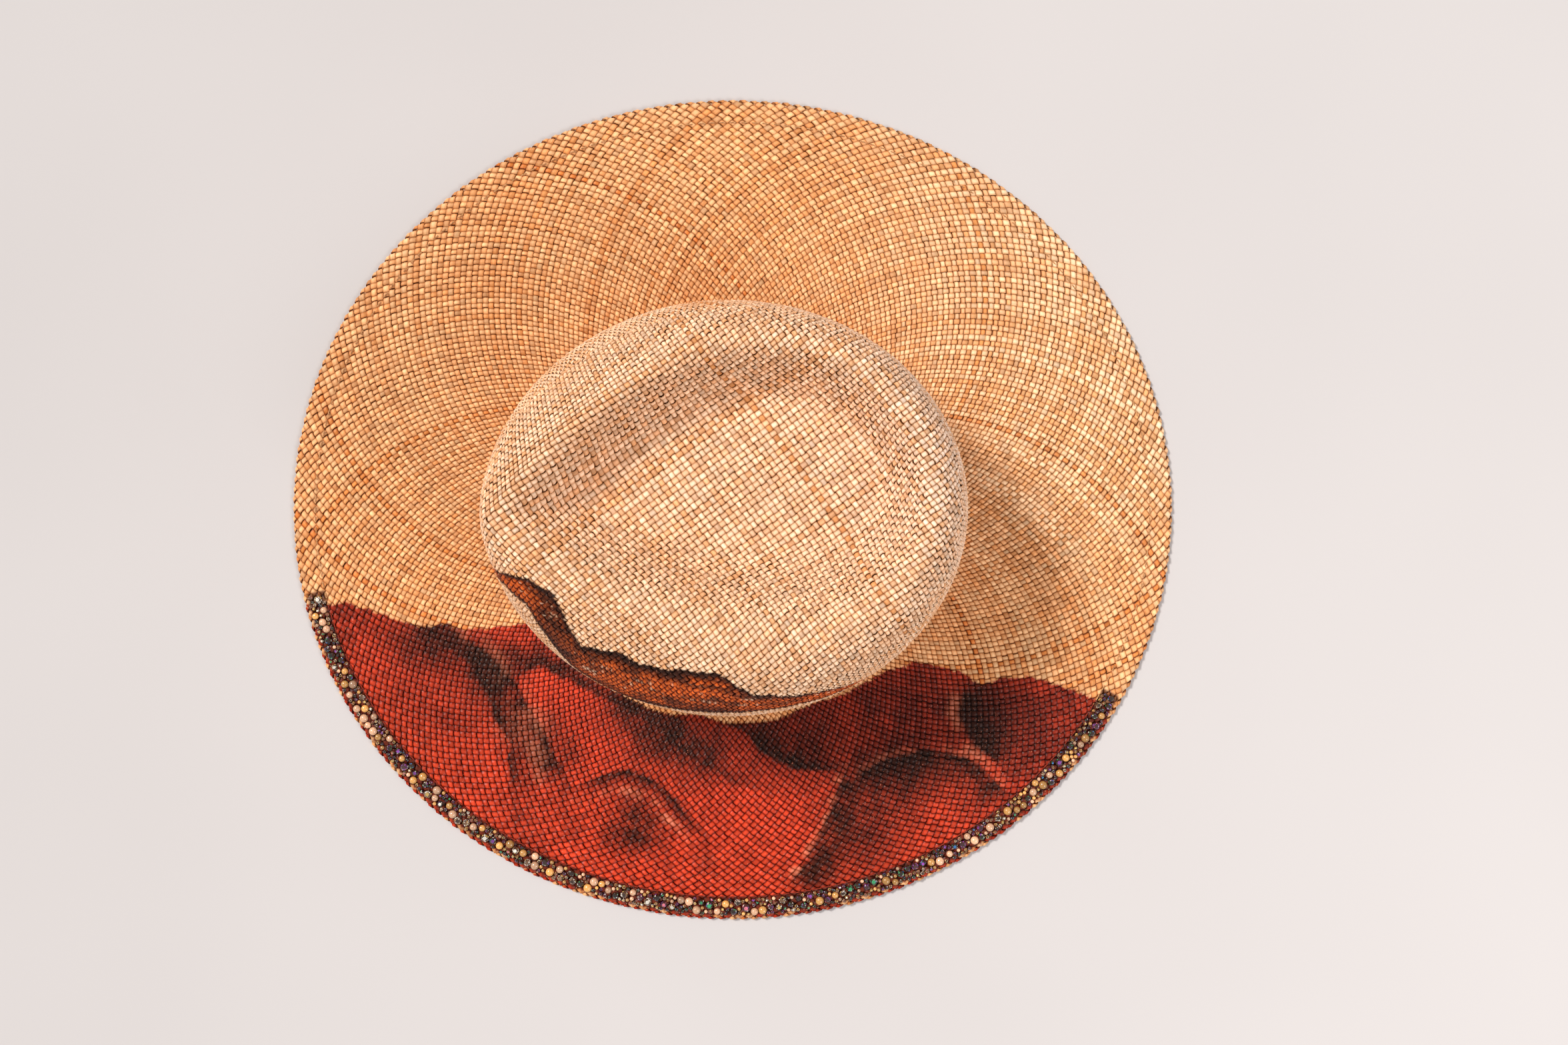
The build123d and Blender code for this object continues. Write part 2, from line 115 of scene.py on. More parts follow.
# How many columns and rings the table of the surface has, and the last rings of some stretches.
TABLE_TURNS = 1440
TABLE_STEP = 0.25
FLOOR_RINGS = 60
FLOOR_START = 0.995  # the first ring is a small one, since the middle has no direction
CREASE_RINGS = 90
SHOULDER_RINGS = 120
WALL_RINGS = 40
ROOT_RINGS = 40
BRIM_RINGS = 160
FOLD_RINGS = 16
HEM_RINGS = 24
RIM_ROW = FLOOR_RINGS - 1 + CREASE_RINGS
SHOULDER_ROW = RIM_ROW + SHOULDER_RINGS
FOOT_ROW = SHOULDER_ROW + WALL_RINGS + ROOT_RINGS
TOP_MARGIN = 30  # rings past the seam that the unrolled top still holds
TURNS = np.arange(TABLE_TURNS) * TAU / TABLE_TURNS
TINY = 1e-12


def blend(start, end, share):
    return start * (1 - share) + end * share


def bilinear(table, row, column, down, across):
    """Blends the four values of a table round a place. Past its ends the table starts again."""
    rows, columns = table.shape[:2]
    row = np.stack([row, row + 1]) % rows
    near, far = blend(table[row, column % columns], table[row, (column + 1) % columns], across)
    return blend(near, far, down)


# ---- Outlines ----
def oval(half_x, half_y, turn):
    return half_x * np.sin(turn), -half_y * np.cos(turn)


def teardrop(half_width, half_length, middle, turn):
    swell = np.sin(turn) * np.abs(np.sin(turn / 2)) ** TIP_SHARPNESS / SWELL_PEAK
    size = half_length / RIM_HALF_LENGTH
    sway = size * (TIP_SWAY * np.cos(turn) + BOW * np.cos(2 * turn))
    return middle[0] + sway + half_width * swell, middle[1] - half_length * np.cos(turn)


def between(start, end, share):
    return start[0] + (end[0] - start[0]) * share, start[1] + (end[1] - start[1]) * share


def foot(turn, height):
    lean = 1 + FOOT_SPREAD * (1 - min(height / SHOULDER_Z, 1))
    return oval(CROWN_HALF_X * lean, CROWN_HALF_Y * lean, turn)


def rim(turn):
    return teardrop(RIM_HALF_WIDTH, RIM_HALF_LENGTH, RIM_MIDDLE, turn)


def crease_floor(turn):
    return teardrop(FLOOR_HALF_WIDTH, FLOOR_HALF_LENGTH, FLOOR_MIDDLE, turn)


def ring(outline, height, turn, fall=0.0):
    """A section of the hat as points, tipped back by its fall."""
    x, y = outline
    return np.stack([x + 0 * turn, y + 0 * turn, height - fall * y + 0 * turn], axis=-1)


def floor_ring(share, turn):
    height = RIM_Z - CREASE_DEPTH + FLOOR_CROWNING * (1 - (1 - share) ** 2)
    return ring(between(crease_floor(turn), FLOOR_MIDDLE, share), height, turn, RIM_FALL)


def crease_ring(share, turn):
    height = RIM_Z - CREASE_DEPTH * (1 - math.cos(math.pi * share)) / 2
    return ring(between(rim(turn), crease_floor(turn), share), height, turn, RIM_FALL)


def shoulder_ring(climb, turn):
    share = 1 - math.cos(math.radians(climb)) + 0 * turn
    for place, depth in PINCH.items():
        away = (np.degrees(turn) - place + 180) % 360 - 180
        dip = np.cos(np.radians(90 * away / PINCH_SPREAD)) ** 2 * (np.abs(away) < PINCH_SPREAD)
        share = share + depth * 4 * share * (1 - share) * dip
    rise = math.sin(math.radians(climb))
    height = SHOULDER_Z + (RIM_Z - SHOULDER_Z) * rise
    return ring(between(foot(turn, SHOULDER_Z), rim(turn), share), height, turn, RIM_FALL * rise)


def wall_ring(height, turn):
    return ring(foot(turn, height), height, turn)


def brim_outline(reach, turn):
    return between(foot(turn, 0.0), oval(BRIM_HALF_X, BRIM_HALF_Y, turn), reach)


def root_ring(angle, turn):
    """The tight turn from the wall into the brim."""
    reach = ROOT_REACH * (1 - abs(math.cos(angle)) ** (2 / ROOT_BEND))
    height = WALL_Z - (WALL_Z - ROOT_Z) * abs(math.sin(angle)) ** (2 / ROOT_BEND)
    return ring(brim_outline(reach, turn), height, turn)


def brim_ring(reach, turn):
    flat = 1 - FLAT_EDGE / (BRIM_HALF_Y - CROWN_HALF_Y)
    rise = max((flat - reach) / (flat - ROOT_REACH), 0) ** BRIM_CURVE
    return ring(brim_outline(reach, turn), HEM_TOP + (ROOT_Z - HEM_TOP) * rise, turn)


def surface_rows():
    """Rings from the middle of the crease out to the brim's edge, on the straw's outer side."""
    edge = 1 - FOLD_CENTRE / (BRIM_HALF_Y - CROWN_HALF_Y)
    stretches = (
        (crease_ring, 1.0, 0.0, CREASE_RINGS),
        (shoulder_ring, 90.0, 0.0, SHOULDER_RINGS),
        (wall_ring, SHOULDER_Z, WALL_Z, WALL_RINGS),
        (root_ring, 0.0, math.pi / 2, ROOT_RINGS),
        (brim_ring, ROOT_REACH, edge, BRIM_RINGS),
    )
    rows = [floor_ring(share, TURNS) for share in np.linspace(FLOOR_START, 0.0, FLOOR_RINGS)]
    for section, start, end, count in stretches:
        rows += [section(place, TURNS) for place in np.linspace(start, end, count + 1)[1:]]
    return np.array(rows)


def hem_rows():
    """Rings round the fold at the edge and back under the brim, through the middle of the straw."""
    low = STRAW / 2
    high = HEM_TOP - STRAW / 2
    radius = (high - low) / 2
    places = []
    for angle in np.linspace(0.0, math.pi, FOLD_RINGS)[1:]:
        places.append((FOLD_CENTRE - radius * math.sin(angle), (high + low) / 2 + radius * math.cos(angle)))
    places += [(inset, low) for inset in np.linspace(FOLD_CENTRE, HEM_REACH, HEM_RINGS)[1:]]
    return np.array([
        ring(oval(BRIM_HALF_X - inset, BRIM_HALF_Y - inset, TURNS), height, TURNS)
        for inset, height in places
    ])


def normals_of(rows):
    """Unit normals of a table of points. Whether they point outwards is for the caller to see."""
    around = np.roll(rows, -1, axis=1) - np.roll(rows, 1, axis=1)
    normal = np.cross(around, np.gradient(rows, axis=0))
    return normal / np.maximum(np.linalg.norm(normal, axis=-1, keepdims=True), TINY)


class Skin:
    """The middle of the straw as a table of points, looked up by distance and turn."""

    def __init__(self):
        outer = surface_rows()
        normal = normals_of(outer)
        rows = outer - normal * np.sign(normal[..., 2].mean()) * STRAW / 2
        groove = np.exp(-((self.edge_inset(rows) - STITCH_INSET) / GROOVE_WIDTH) ** 2)
        rows[..., 2] -= GROOVE_DEPTH * groove * (rows[..., 2] < HEM_TOP)
        rows = np.concatenate([rows, hem_rows()])
        steps = np.linalg.norm(np.diff(rows, axis=0), axis=-1)
        mean = np.concatenate([[0.0], np.cumsum(steps.mean(axis=1))])
        self.edge_length = mean[len(outer) - 1]
        self.foot_length = mean[FOOT_ROW]
        self.length = mean[-1]
        self.count = int(self.length / TABLE_STEP) + 1
        self.step = self.length / (self.count - 1)
        wanted = np.arange(self.count) * self.step
        place = np.clip(np.searchsorted(mean, wanted, side="right") - 1, 0, len(mean) - 2)
        share = ((wanted - mean[place]) / (mean[place + 1] - mean[place]))[:, None, None]
        self.points = blend(rows[place], rows[place + 1], share)
        self.shoulder = mean[RIM_ROW:SHOULDER_ROW + 1]
        self.climbs = np.linspace(90.0, 0.0, len(self.shoulder))
        self.seam = float(np.interp(-SEAM_CLIMB, -self.climbs, self.shoulder))

        # Outwards is up on the brim, and up everywhere above the seam.
        self.normals = normals_of(self.points)
        on_brim = int((self.edge_length - FLAT_EDGE) / self.step)
        self.normals *= np.sign(self.normals[on_brim, :, 2].mean())
        on_top = wanted[:, None] < self.seam
        self.normals *= np.where(on_top & (self.normals[..., 2] < 0), -1, 1)[..., None]

        gap = np.roll(self.points, -1, axis=1) - self.points
        self.girth = np.linalg.norm(gap, axis=-1).sum(axis=1)
        self.unroll_top()

    def unroll_top(self):
        """The crown's top as a table by heading from the crease's middle, for the square weave."""
        run = np.linalg.norm(np.diff(self.points, axis=0), axis=-1)
        arc = np.concatenate([np.zeros((1, TABLE_TURNS)), np.cumsum(run, axis=0)])
        rows = int(self.seam / self.step) + TOP_MARGIN
        flat = self.points[:rows, :, :2] - np.array(FLOOR_MIDDLE)
        heading = np.unwrap(np.arctan2(flat[..., 0], -flat[..., 1]), axis=1)
        wanted = np.arange(TABLE_TURNS + 1) * TAU / TABLE_TURNS
        turns = np.concatenate([TURNS - TAU, TURNS, TURNS + TAU])
        self.top_turn = np.zeros((rows, TABLE_TURNS + 1))
        self.top_arc = np.zeros((rows, TABLE_TURNS + 1))
        for row in range(rows):
            own = heading[row] - round(heading[row, 0] / TAU) * TAU
            own = np.concatenate([own - TAU, own, own + TAU])
            self.top_turn[row] = np.interp(wanted, own, turns)
            self.top_arc[row] = np.interp(wanted, own, np.tile(arc[row], 3))
        seam = self.top_arc[int(self.seam / self.step), :-1, None]
        self.border = seam * np.stack([np.sin(TURNS), -np.cos(TURNS)], axis=-1)

    @staticmethod
    def edge_inset(points):
        x = points[..., 0]
        y = points[..., 1]
        size = np.sqrt((x / BRIM_HALF_X) ** 2 + (y / BRIM_HALF_Y) ** 2)
        return (1 - size) * np.hypot(x, y) / np.maximum(size, TINY)

    def look_up(self, table, distance, turn):
        row = np.clip(distance / self.step, 0, self.count - 1.001)
        column = (turn / TAU * TABLE_TURNS) % TABLE_TURNS
        r = row.astype(int)
        c = column.astype(int)
        return bilinear(table, r, c, (row - r)[..., None], (column - c)[..., None])

    def point(self, distance, turn):
        return self.look_up(self.points, distance, turn)

    def normal(self, distance, turn):
        normal = self.look_up(self.normals, distance, turn)
        return normal / np.maximum(np.linalg.norm(normal, axis=-1, keepdims=True), TINY)

    def climb_at(self, distance):
        """How far up the shoulder a distance is, in degrees: 90 at the rim, and -1 for all below it."""
        return np.interp(distance, self.shoulder, self.climbs, left=90, right=-1)

    def place_on_top(self, x, y):
        """The distance and turn of a point of the crown's top, given in the unrolled plane."""
        reach = np.hypot(x, y).ravel()
        column = (np.arctan2(x, -y).ravel() % TAU) / TAU * TABLE_TURNS
        low = np.minimum(column.astype(int), TABLE_TURNS - 1)
        share = column - low
        arcs = blend(self.top_arc[:, low], self.top_arc[:, low + 1], share)
        row = np.clip((arcs < reach).sum(axis=0) - 1, 0, len(arcs) - 2)
        pick = np.arange(len(reach))
        part = (reach - arcs[row, pick]) / np.maximum(arcs[row + 1, pick] - arcs[row, pick], TINY)
        part = np.clip(part, 0, 1)
        turn = bilinear(self.top_turn, row, low, part, share)
        return ((row + part) * self.step).reshape(x.shape), turn.reshape(x.shape)


skin = Skin()


# ---- Noise and colour ----
def smooth_step(low, high, value):
    share = np.clip((value - low) / (high - low), 0, 1)
    return share * share * (3 - 2 * share)


def noise(x, y, size, seed, cells=256):
    """Smooth random values from -1 to 1, with spots about this size."""
    grid = np.random.default_rng(seed).uniform(-1, 1, (cells, cells))
    u = x / size
    v = y / size
    a = np.floor(u).astype(int)
    b = np.floor(v).astype(int)
    return bilinear(grid, a, b, smooth_step(0, 1, u - a), smooth_step(0, 1, v - b))


def rgb(red, green, blue):
    """A screen colour, 0 to 255, as the linear values that shaders use."""
    share = np.array([red, green, blue]) / 255
    return np.where(share <= 0.04045, share / 12.92, ((share + 0.055) / 1.055) ** 2.4)


def mixed(start, end, share):
    return start + (end - start) * np.asarray(share)[..., None]


CREAM = rgb(247, 215, 188)
STRAW_TONE = rgb(238, 190, 152)
TAN = rgb(222, 160, 104)
ORANGE_TAN = rgb(205, 128, 72)
# Painted shade: the brown of straw in shadow, in the gaps of the weave.
SHADOW_BROWN = rgb(120, 72, 38)
BRICK = rgb(182, 60, 34)
SCARLET = rgb(198, 64, 38)
MAROON = rgb(104, 30, 18)
FOLD_BROWN = rgb(46, 20, 10)
PALE_FLECK = rgb(228, 140, 112)
RUST = rgb(196, 92, 34)
RUST_DARK = rgb(46, 24, 16)
GLUE_DARK = rgb(72, 32, 20)
TAN_SHARE = 0.30  # share of strands that lean to tan
DARK_SHARE = 0.015  # and of those that lean to orange
TAN_STRENGTH = 0.7


def strand_tints(count):
    """One tone for each strand, mostly straw, with some cream, tan and a few dark ones."""
    pick = rng.random(count)[:, None]
    tone = rng.random(count)
    tint = mixed(STRAW_TONE, CREAM, tone)
    tint = np.where(pick < TAN_SHARE, mixed(STRAW_TONE, TAN, tone * TAN_STRENGTH), tint)
    return np.where(pick < DARK_SHARE, mixed(TAN, ORANGE_TAN, tone * TAN_STRENGTH), tint)


# ---- Paint ----
# The painted side's border on the brim: distance to the wearer's left, at places from front to back.
BORDER_Y = (
    -206, -196, -178, -163, -147, -136, -126, -114, -100, 58,
    72, 85, 98, 109, 116, 123, 138, 152, 168, 190,
)
BORDER_X = (44, 44, 44.5, 49, 54.5, 53, 56, 55.5, 53, 82, 75, 71.5, 73, 77.5, 82, 80, 78, 81, 88, 98)
PAINT_ABOVE_FOOT = 5.0  # how far up the wall the paint starts
PAINT_END = 3.5  # and how far round the fold it goes
BARE_SPECK = 0.65  # crossings with a speck value over this stay bare on the fold

# Folds of the painted petals, each a curve through a few places: how dark it is, how far the dark reaches
# on its left, how strong its light stroke is, how far to the left that lies, and how wide it is.
FOLDS_AND_CROWN_SHADOW = (
    (((126, -76), (104, -90), (78, -103), (57, -126)), 0.92, 9, 0.0, 0, 1),
    (((56, -142), (73, -124), (91, -111), (108, -105), (142, -104)), 0.85, 5, 0.35, 13, 4),
    # These two run beside the crown's foot: their dark is partly painted shadow of the crown.
    (((79, -106), (73, -92), (80, -72), (96, -48), (112, -24), (127, 2)), 0.85, 11, 0.0, 0, 1),
    (((96, -14), (103, 5), (116, 17), (121, 31), (123, 55)), 0.95, 12, 0.0, 0, 1),
    (((136, 133), (124, 121), (113, 106), (111, 88), (116, 70), (127, 52)), 0.95, 12, 0.30, -2, 1.6),
    (((82, 108), (96, 104), (108, 111), (120, 126)), 0.95, 13, 0.40, -3, 2),
    (((120, 53), (139, 47), (155, 38), (178, 26)), 0.92, 15, 0.9, -1.5, 1.5),
    (((156, -12), (138, -22), (128, -34), (122, -46), (122, -57), (128, -70)), 0.88, 4, 0.65, 9, 2.2),
)
# Patches of tone under the folds: middle, radius, tone and strength.
PATCHES_AND_CROWN_SHADOW = (
    ((50, -182), 14, MAROON, 0.55),
    ((58, -140), 17, FOLD_BROWN, 0.85),
    ((74, -116), 14, FOLD_BROWN, 0.85),
    ((110, -84), 13, FOLD_BROWN, 0.55),
    # These five lie along the crown's foot: dark paint, and partly painted shadow of the crown.
    ((92, -50), 12, FOLD_BROWN, 0.70),
    ((104, -33), 14, FOLD_BROWN, 0.85),
    ((115, -14), 14, FOLD_BROWN, 0.75),
    ((102, 26), 26, MAROON, 0.90),
    ((90, 78), 30, MAROON, 0.95),
    ((122, 76), 16, FOLD_BROWN, 0.55),
    ((93, 116), 16, FOLD_BROWN, 0.95),
    ((100, 148), 30, MAROON, 0.70),
    ((144, 62), 22, MAROON, 0.60),
    ((148, -44), 13, FOLD_BROWN, 0.75),
    ((102, -98), 9, PALE_FLECK, 0.40),
    ((150, 6), 34, SCARLET, 0.45),
    ((84, -158), 44, MAROON, 0.16),
)

# Where the stones are glued: from one turn to another, and from one inset to another.
STONE_TURNS = (12.0, 152.6)
STONE_INSETS = (1.8, 10.7)
STRAW_THROUGH_GLUE = 0.12

# The rust band on the crown: turns, and how far up the shoulder it starts and ends, in degrees.
BAND_TURNS = (13, 26, 36, 46, 51, 55, 64, 77, 84, 90, 98, 108, 118, 126)
BAND_UPPER = (24, 60, 74, 75, 58, 47, 51, 49, 56, 59, 45, 38, 28, 14)
BAND_LOWER = (18, 46, 53, 30, 13, 12, 8, 14, 17, 20, 23, 21, 14, 12)
BAND_CLIMBS = (5, 85)  # it stays between these
BAND_DARK = (46, 9)  # turn and half width of its darkest place
FLECKS_WITHIN = (0.35, 0.8)  # its pale flecks, as shares of its width
FLECK_LEVEL = 0.74


def fold_line(places, steps=40, smoothings=6):
    """A smooth curve through the places."""
    places = np.array(places, float)
    known = np.arange(len(places))
    share = np.linspace(0, len(places) - 1, steps)
    line = np.stack([np.interp(share, known, places[:, axis]) for axis in (0, 1)], axis=-1)
    for _ in range(smoothings):
        line[1:-1] = (line[:-2] + line[2:] + 2 * line[1:-1]) / 4
    return line


def two_noises(x, y, first, second, share):
    """Noise of one size and seed with a share of a finer one."""
    return noise(x, y, *first) + share * noise(x, y, *second)


def petal_paint(x, y, speck):
    """The painted petals: warm red with soft dark folds and a few light strokes along them, and some
    painted shadow of the crown along its foot.
    """
    px = x + 2.0 * two_noises(x, y, (14, 3), (4, 17), 0.4)
    py = y + 2.0 * two_noises(x, y, (14, 4), (4, 18), 0.4)
    mottle = two_noises(x, y, (11, 20), (3, 21), 0.5)
    dry = 0.9 + 0.30 * noise(x, y, 3.5, 15) + 0.25 * noise(x, y, 9, 16)
    brushed = smooth_step(-0.5, 0.4, noise(x, y, 5, 19))
    colour = mixed(BRICK, SCARLET, 0.5 + 0.5 * noise(x, y, 34, 5))
    colour = mixed(colour, MAROON, 0.34 * smooth_step(-0.3, 0.9, mottle))
    for middle, radius, tone, strength in PATCHES_AND_CROWN_SHADOW:
        away = np.hypot(px - middle[0], py - middle[1]) / radius
        share = np.clip(strength * np.exp(-away ** 2.4) * dry, 0, 1)
        colour = mixed(colour, tone, 1 - (1 - share) ** 1.6)
    for places, depth, reach, light, offset, width in FOLDS_AND_CROWN_SHADOW:
        line = fold_line(places)
        gap = np.hypot(px[:, None] - line[:, 0], py[:, None] - line[:, 1])
        near = gap.argmin(axis=1)
        heading = np.gradient(line, axis=0)[near]
        side = heading[:, 0] * (py - line[near, 1]) - heading[:, 1] * (px - line[near, 0])
        side = np.sign(side) * gap[np.arange(len(px)), near]
        along = np.clip(near / (len(line) - 1), 0.04, 0.96)
        body = np.clip(np.sin(math.pi * along) * 2.5, 0, 1)
        shade = np.exp(-(np.maximum(side, 0) / reach) ** 1.3) * smooth_step(-1.6, 0.6, side)
        share = np.clip(depth * body * shade * dry, 0, 0.97)
        colour = mixed(colour, FOLD_BROWN, 1 - (1 - share) ** 1.7)
        glow = np.exp(-((side - offset) / width) ** 2) * body ** 2 * brushed
        colour = mixed(colour, PALE_FLECK, np.clip(0.9 * light * glow * dry, 0, 1))
    brightness = (0.84 + 0.30 * (0.5 + 0.5 * noise(x, y, 6, 7))) * (0.78 + 0.40 * speck)
    return colour * brightness[:, None]


def band_paint(degree, climb, share, speck):
    """The rust band on the crown's shoulder, dark along its edges, with streaks and a few flecks."""
    streak = two_noises(degree * 1.3, climb * 2.0, (5, 8), (2, 22), 0.5)
    colour = mixed(RUST, RUST_DARK, smooth_step(-0.2, 0.8, streak) * 0.8)
    colour = mixed(RUST_DARK, colour, smooth_step(0.05, 0.26, np.minimum(share, 1 - share)))
    away = (degree - BAND_DARK[0]) / BAND_DARK[1]
    colour = mixed(colour, RUST_DARK, 0.75 * np.exp(-away ** 2))
    colour = colour * (0.7 + 0.6 * speck)[:, None]
    fleck = noise(degree * 1.2, climb * 3.0, 3, 9) > FLECK_LEVEL
    return mixed(colour, CREAM, 0.55 * (fleck & (share > FLECKS_WITHIN[0]) & (share < FLECKS_WITHIN[1])))


def painted(colour, points, distance, turn, speck):
    """Lays the paint over the straw's own colour, crossing by crossing."""
    shape = colour.shape
    colour = colour.reshape(-1, 3).copy()
    x = points[..., 0].ravel()
    y = points[..., 1].ravel()
    distance, turn, speck = [
        np.broadcast_to(values, points.shape[:-1]).ravel() for values in (distance, turn, speck)
    ]
    degree = np.degrees(turn % TAU)

    border = np.interp(y, BORDER_Y, BORDER_X) + 0.8 * noise(x, y, 7, 1) + 0.5 * noise(x, y, 2.2, 2)
    low = skin.foot_length - PAINT_ABOVE_FOOT + 4.0 * noise(x, y, 16, 12)
    cover = x > border + 0.8 * (speck - 0.5)
    cover &= (distance > low) & (distance < skin.edge_length + PAINT_END)
    cover &= ~((speck > BARE_SPECK) & (distance > skin.edge_length - 0.4))
    if cover.any():
        colour[cover] = petal_paint(x[cover], y[cover], speck[cover])

    inset = skin.edge_length + FOLD_CENTRE - distance
    glued = (inset > STONE_INSETS[0]) & (inset < STONE_INSETS[1])
    glued &= (degree > STONE_TURNS[0]) & (degree < STONE_TURNS[1])
    colour[glued] = mixed(GLUE_DARK, colour[glued], STRAW_THROUGH_GLUE)

    climb = skin.climb_at(distance)
    upper = np.interp(degree, BAND_TURNS, BAND_UPPER, left=-9, right=-9) + 2.0 * noise(x, y, 6, 13)
    lower = np.interp(degree, BAND_TURNS, BAND_LOWER, left=0, right=0) + 1.2 * noise(x, y, 9, 14)
    share = (climb - lower) / np.maximum(upper - lower, 1e-3)
    cover = (share > 0) & (share < 1) & (upper > lower)
    cover &= (climb > BAND_CLIMBS[0]) & (climb < BAND_CLIMBS[1])
    if cover.any():
        colour[cover] = band_paint(degree[cover], climb[cover], share[cover], speck[cover])
    return colour.reshape(shape)


# ---- Mesh helpers ----
def add_object(name, data):
    made = bpy.data.objects.new(name, data)
    bpy.context.scene.collection.objects.link(made)
    return made


def add_colours(mesh, name, values, domain="POINT"):
    layer = mesh.color_attributes.new(name, "FLOAT_COLOR", domain)
    values = np.asarray(values).reshape(-1, 3)
    full = np.ones((len(values), 4), np.float32)
    full[:, :3] = values
    layer.data.foreach_set("color", full.ravel())


def add_weave(mesh, uvs):
    """The straw's own coordinates, one pair for every corner."""
    layer = mesh.uv_layers.new(name="weave")
    layer.data.foreach_set("uv", np.asarray(uvs, np.float32).ravel())


def make_mesh(name, points, faces, materials, smooth=True, slots=0):
    """A mesh from points in millimetres, with each face smooth or flat and in one of the material slots."""
    mesh = bpy.data.meshes.new(name)
    mesh.from_pydata(np.asarray(points) * MM, [], faces)
    mesh.polygons.foreach_set("use_smooth", np.zeros(len(faces), bool) | smooth)
    mesh.polygons.foreach_set("material_index", np.zeros(len(faces), np.int32) + slots)
    for material in materials:
        mesh.materials.append(material)
    return mesh


def strips_piece(name, faces, material, points, tints, uvs, forms):
    """A mesh piece of strips, with tints, straw coordinates and places on the strand."""
    mesh = make_mesh(name, points.reshape(-1, 3), faces.tolist(), [material])
    add_colours(mesh, "tint", tints)
    add_colours(mesh, "form", forms)
    add_weave(mesh, uvs.reshape(-1, 2)[faces.ravel()])
    return add_object(name, mesh)


def quads(table, after):
    """Quads between the rows of a table of point numbers, given the same table one place further on."""
    return np.stack([table[..., :-1, :], after[..., :-1, :], after[..., 1:, :], table[..., 1:, :]], axis=-1)


def strip_faces(strands, samples):
    """Quads of many strips side by side, each with this many samples along."""
    base = np.arange(strands * samples * len(ACROSS)).reshape(strands, samples, len(ACROSS))
    return quads(base[..., :-1], base[..., 1:]).reshape(-1, 4)


# ---- Materials ----
NOISE_LOW = 0.3  # noise values that stand for its dark and its light spots
NOISE_HIGH = 0.7
NOISE_ROUGHNESS = 0.55
# The sockets of a node that mixes colours.
MIX_SHARE = 0
MIX_FIRST = 6
MIX_SECOND = 7
MIX_RESULT = 2


def grey(value):
    return (value, value, value)


class Material:
    """A node material, built up step by step."""

    def __init__(self, name, roughness=0.5, specular=0.5, **inputs):
        self.material = bpy.data.materials.new(name)
        self.material.use_nodes = True
        self.tree = self.material.node_tree
        self.shader = self.tree.nodes["Principled BSDF"]
        inputs = {"roughness": roughness, "specular_IOR_level": specular, **inputs}
        for key, value in inputs.items():
            self.shader.inputs[self.socket(key)].default_value = value

    @staticmethod
    def socket(key):
        """The shader's name for an input, such as Coat Weight for coat_weight."""
        return " ".join(word[0].upper() + word[1:] for word in key.split("_"))

    def node(self, kind, **settings):
        made = self.tree.nodes.new("ShaderNode" + kind)
        for key, value in settings.items():
            if key in made.inputs:
                made.inputs[key].default_value = value
            else:
                setattr(made, key, value)
        return made

    def link(self, output, target):
        self.tree.links.new(output, target)

    def drive(self, key, output):
        self.link(output, self.shader.inputs[self.socket(key)])

    def coordinates(self, scale, uv=False):
        """Object coordinates, or the straw's own, stretched by a scale on each axis."""
        if uv:
            source = self.node("UVMap", uv_map="weave").outputs["UV"]
        else:
            source = self.node("TexCoord").outputs["Object"]
        mapping = self.node("Mapping", Scale=scale)
        self.link(source, mapping.inputs["Vector"])
        return mapping.outputs["Vector"]

    def noise(self, scale, detail=3.0, uv=False):
        made = self.node("TexNoise", Scale=1.0, Detail=detail, Roughness=NOISE_ROUGHNESS)
        self.link(self.coordinates(scale, uv), made.inputs["Vector"])
        return made.outputs["Fac"]

    def ramp(self, value, *stops):
        made = self.node("ValToRGB")
        ramp = made.color_ramp
        while len(ramp.elements) < len(stops):
            ramp.elements.new(0.5)
        for element, (place, colour) in zip(ramp.elements, stops):
            element.position = place
            element.color = (*colour, 1.0)
        self.link(value, made.inputs["Fac"])
        return made.outputs["Color"]

    def spots(self, value, dark, light):
        """Two tones, by a noise."""
        return self.ramp(value, (NOISE_LOW, dark), (NOISE_HIGH, light))

    def mix(self, kind, first, second, share=1.0):
        made = self.node("Mix", data_type="RGBA", blend_type=kind)
        for value, place in ((share, MIX_SHARE), (first, MIX_FIRST), (second, MIX_SECOND)):
            if isinstance(value, bpy.types.NodeSocket):
                self.link(value, made.inputs[place])
            else:
                made.inputs[place].default_value = value if place == MIX_SHARE else (*value, 1.0)
        return made.outputs[MIX_RESULT]

    def times(self, first, second):
        return self.mix("MULTIPLY", first, second)

    def attribute(self, name):
        return self.node("Attribute", attribute_name=name).outputs["Color"]

    def channels(self, colour):
        split = self.node("SeparateColor")
        self.link(colour, split.inputs[0])
        return split.outputs

    def math(self, operation, first, second=None):
        """A calculation with one value, and a second one that is a value or a number."""
        made = self.node("Math", operation=operation)
        self.link(first, made.inputs[0])
        if isinstance(second, float):
            made.inputs[1].default_value = second
        elif second is not None:
            self.link(second, made.inputs[1])
        return made.outputs[0]

    def colour(self, output):
        self.drive("base_color", output)

    def bump(self, height, distance, strength=1.0):
        made = self.node("Bump", Strength=strength, Distance=distance)
        self.link(height, made.inputs["Height"])
        self.drive("normal", made.outputs["Normal"])


STRAND_HIGHLIGHT = (1.08, 1.07, 1.06)  # painted highlight: how a strand looks along its middle
EDGE_SHADE = (0.84, 0.70, 0.56)  # painted shade: how it darkens towards its edges
BORDER_SHADE = (0.40, 0.24, 0.13)  # painted shade right at them
GAP_SHADE = (0.30, 0.16, 0.08)  # painted shade in the gaps, where it dips under another
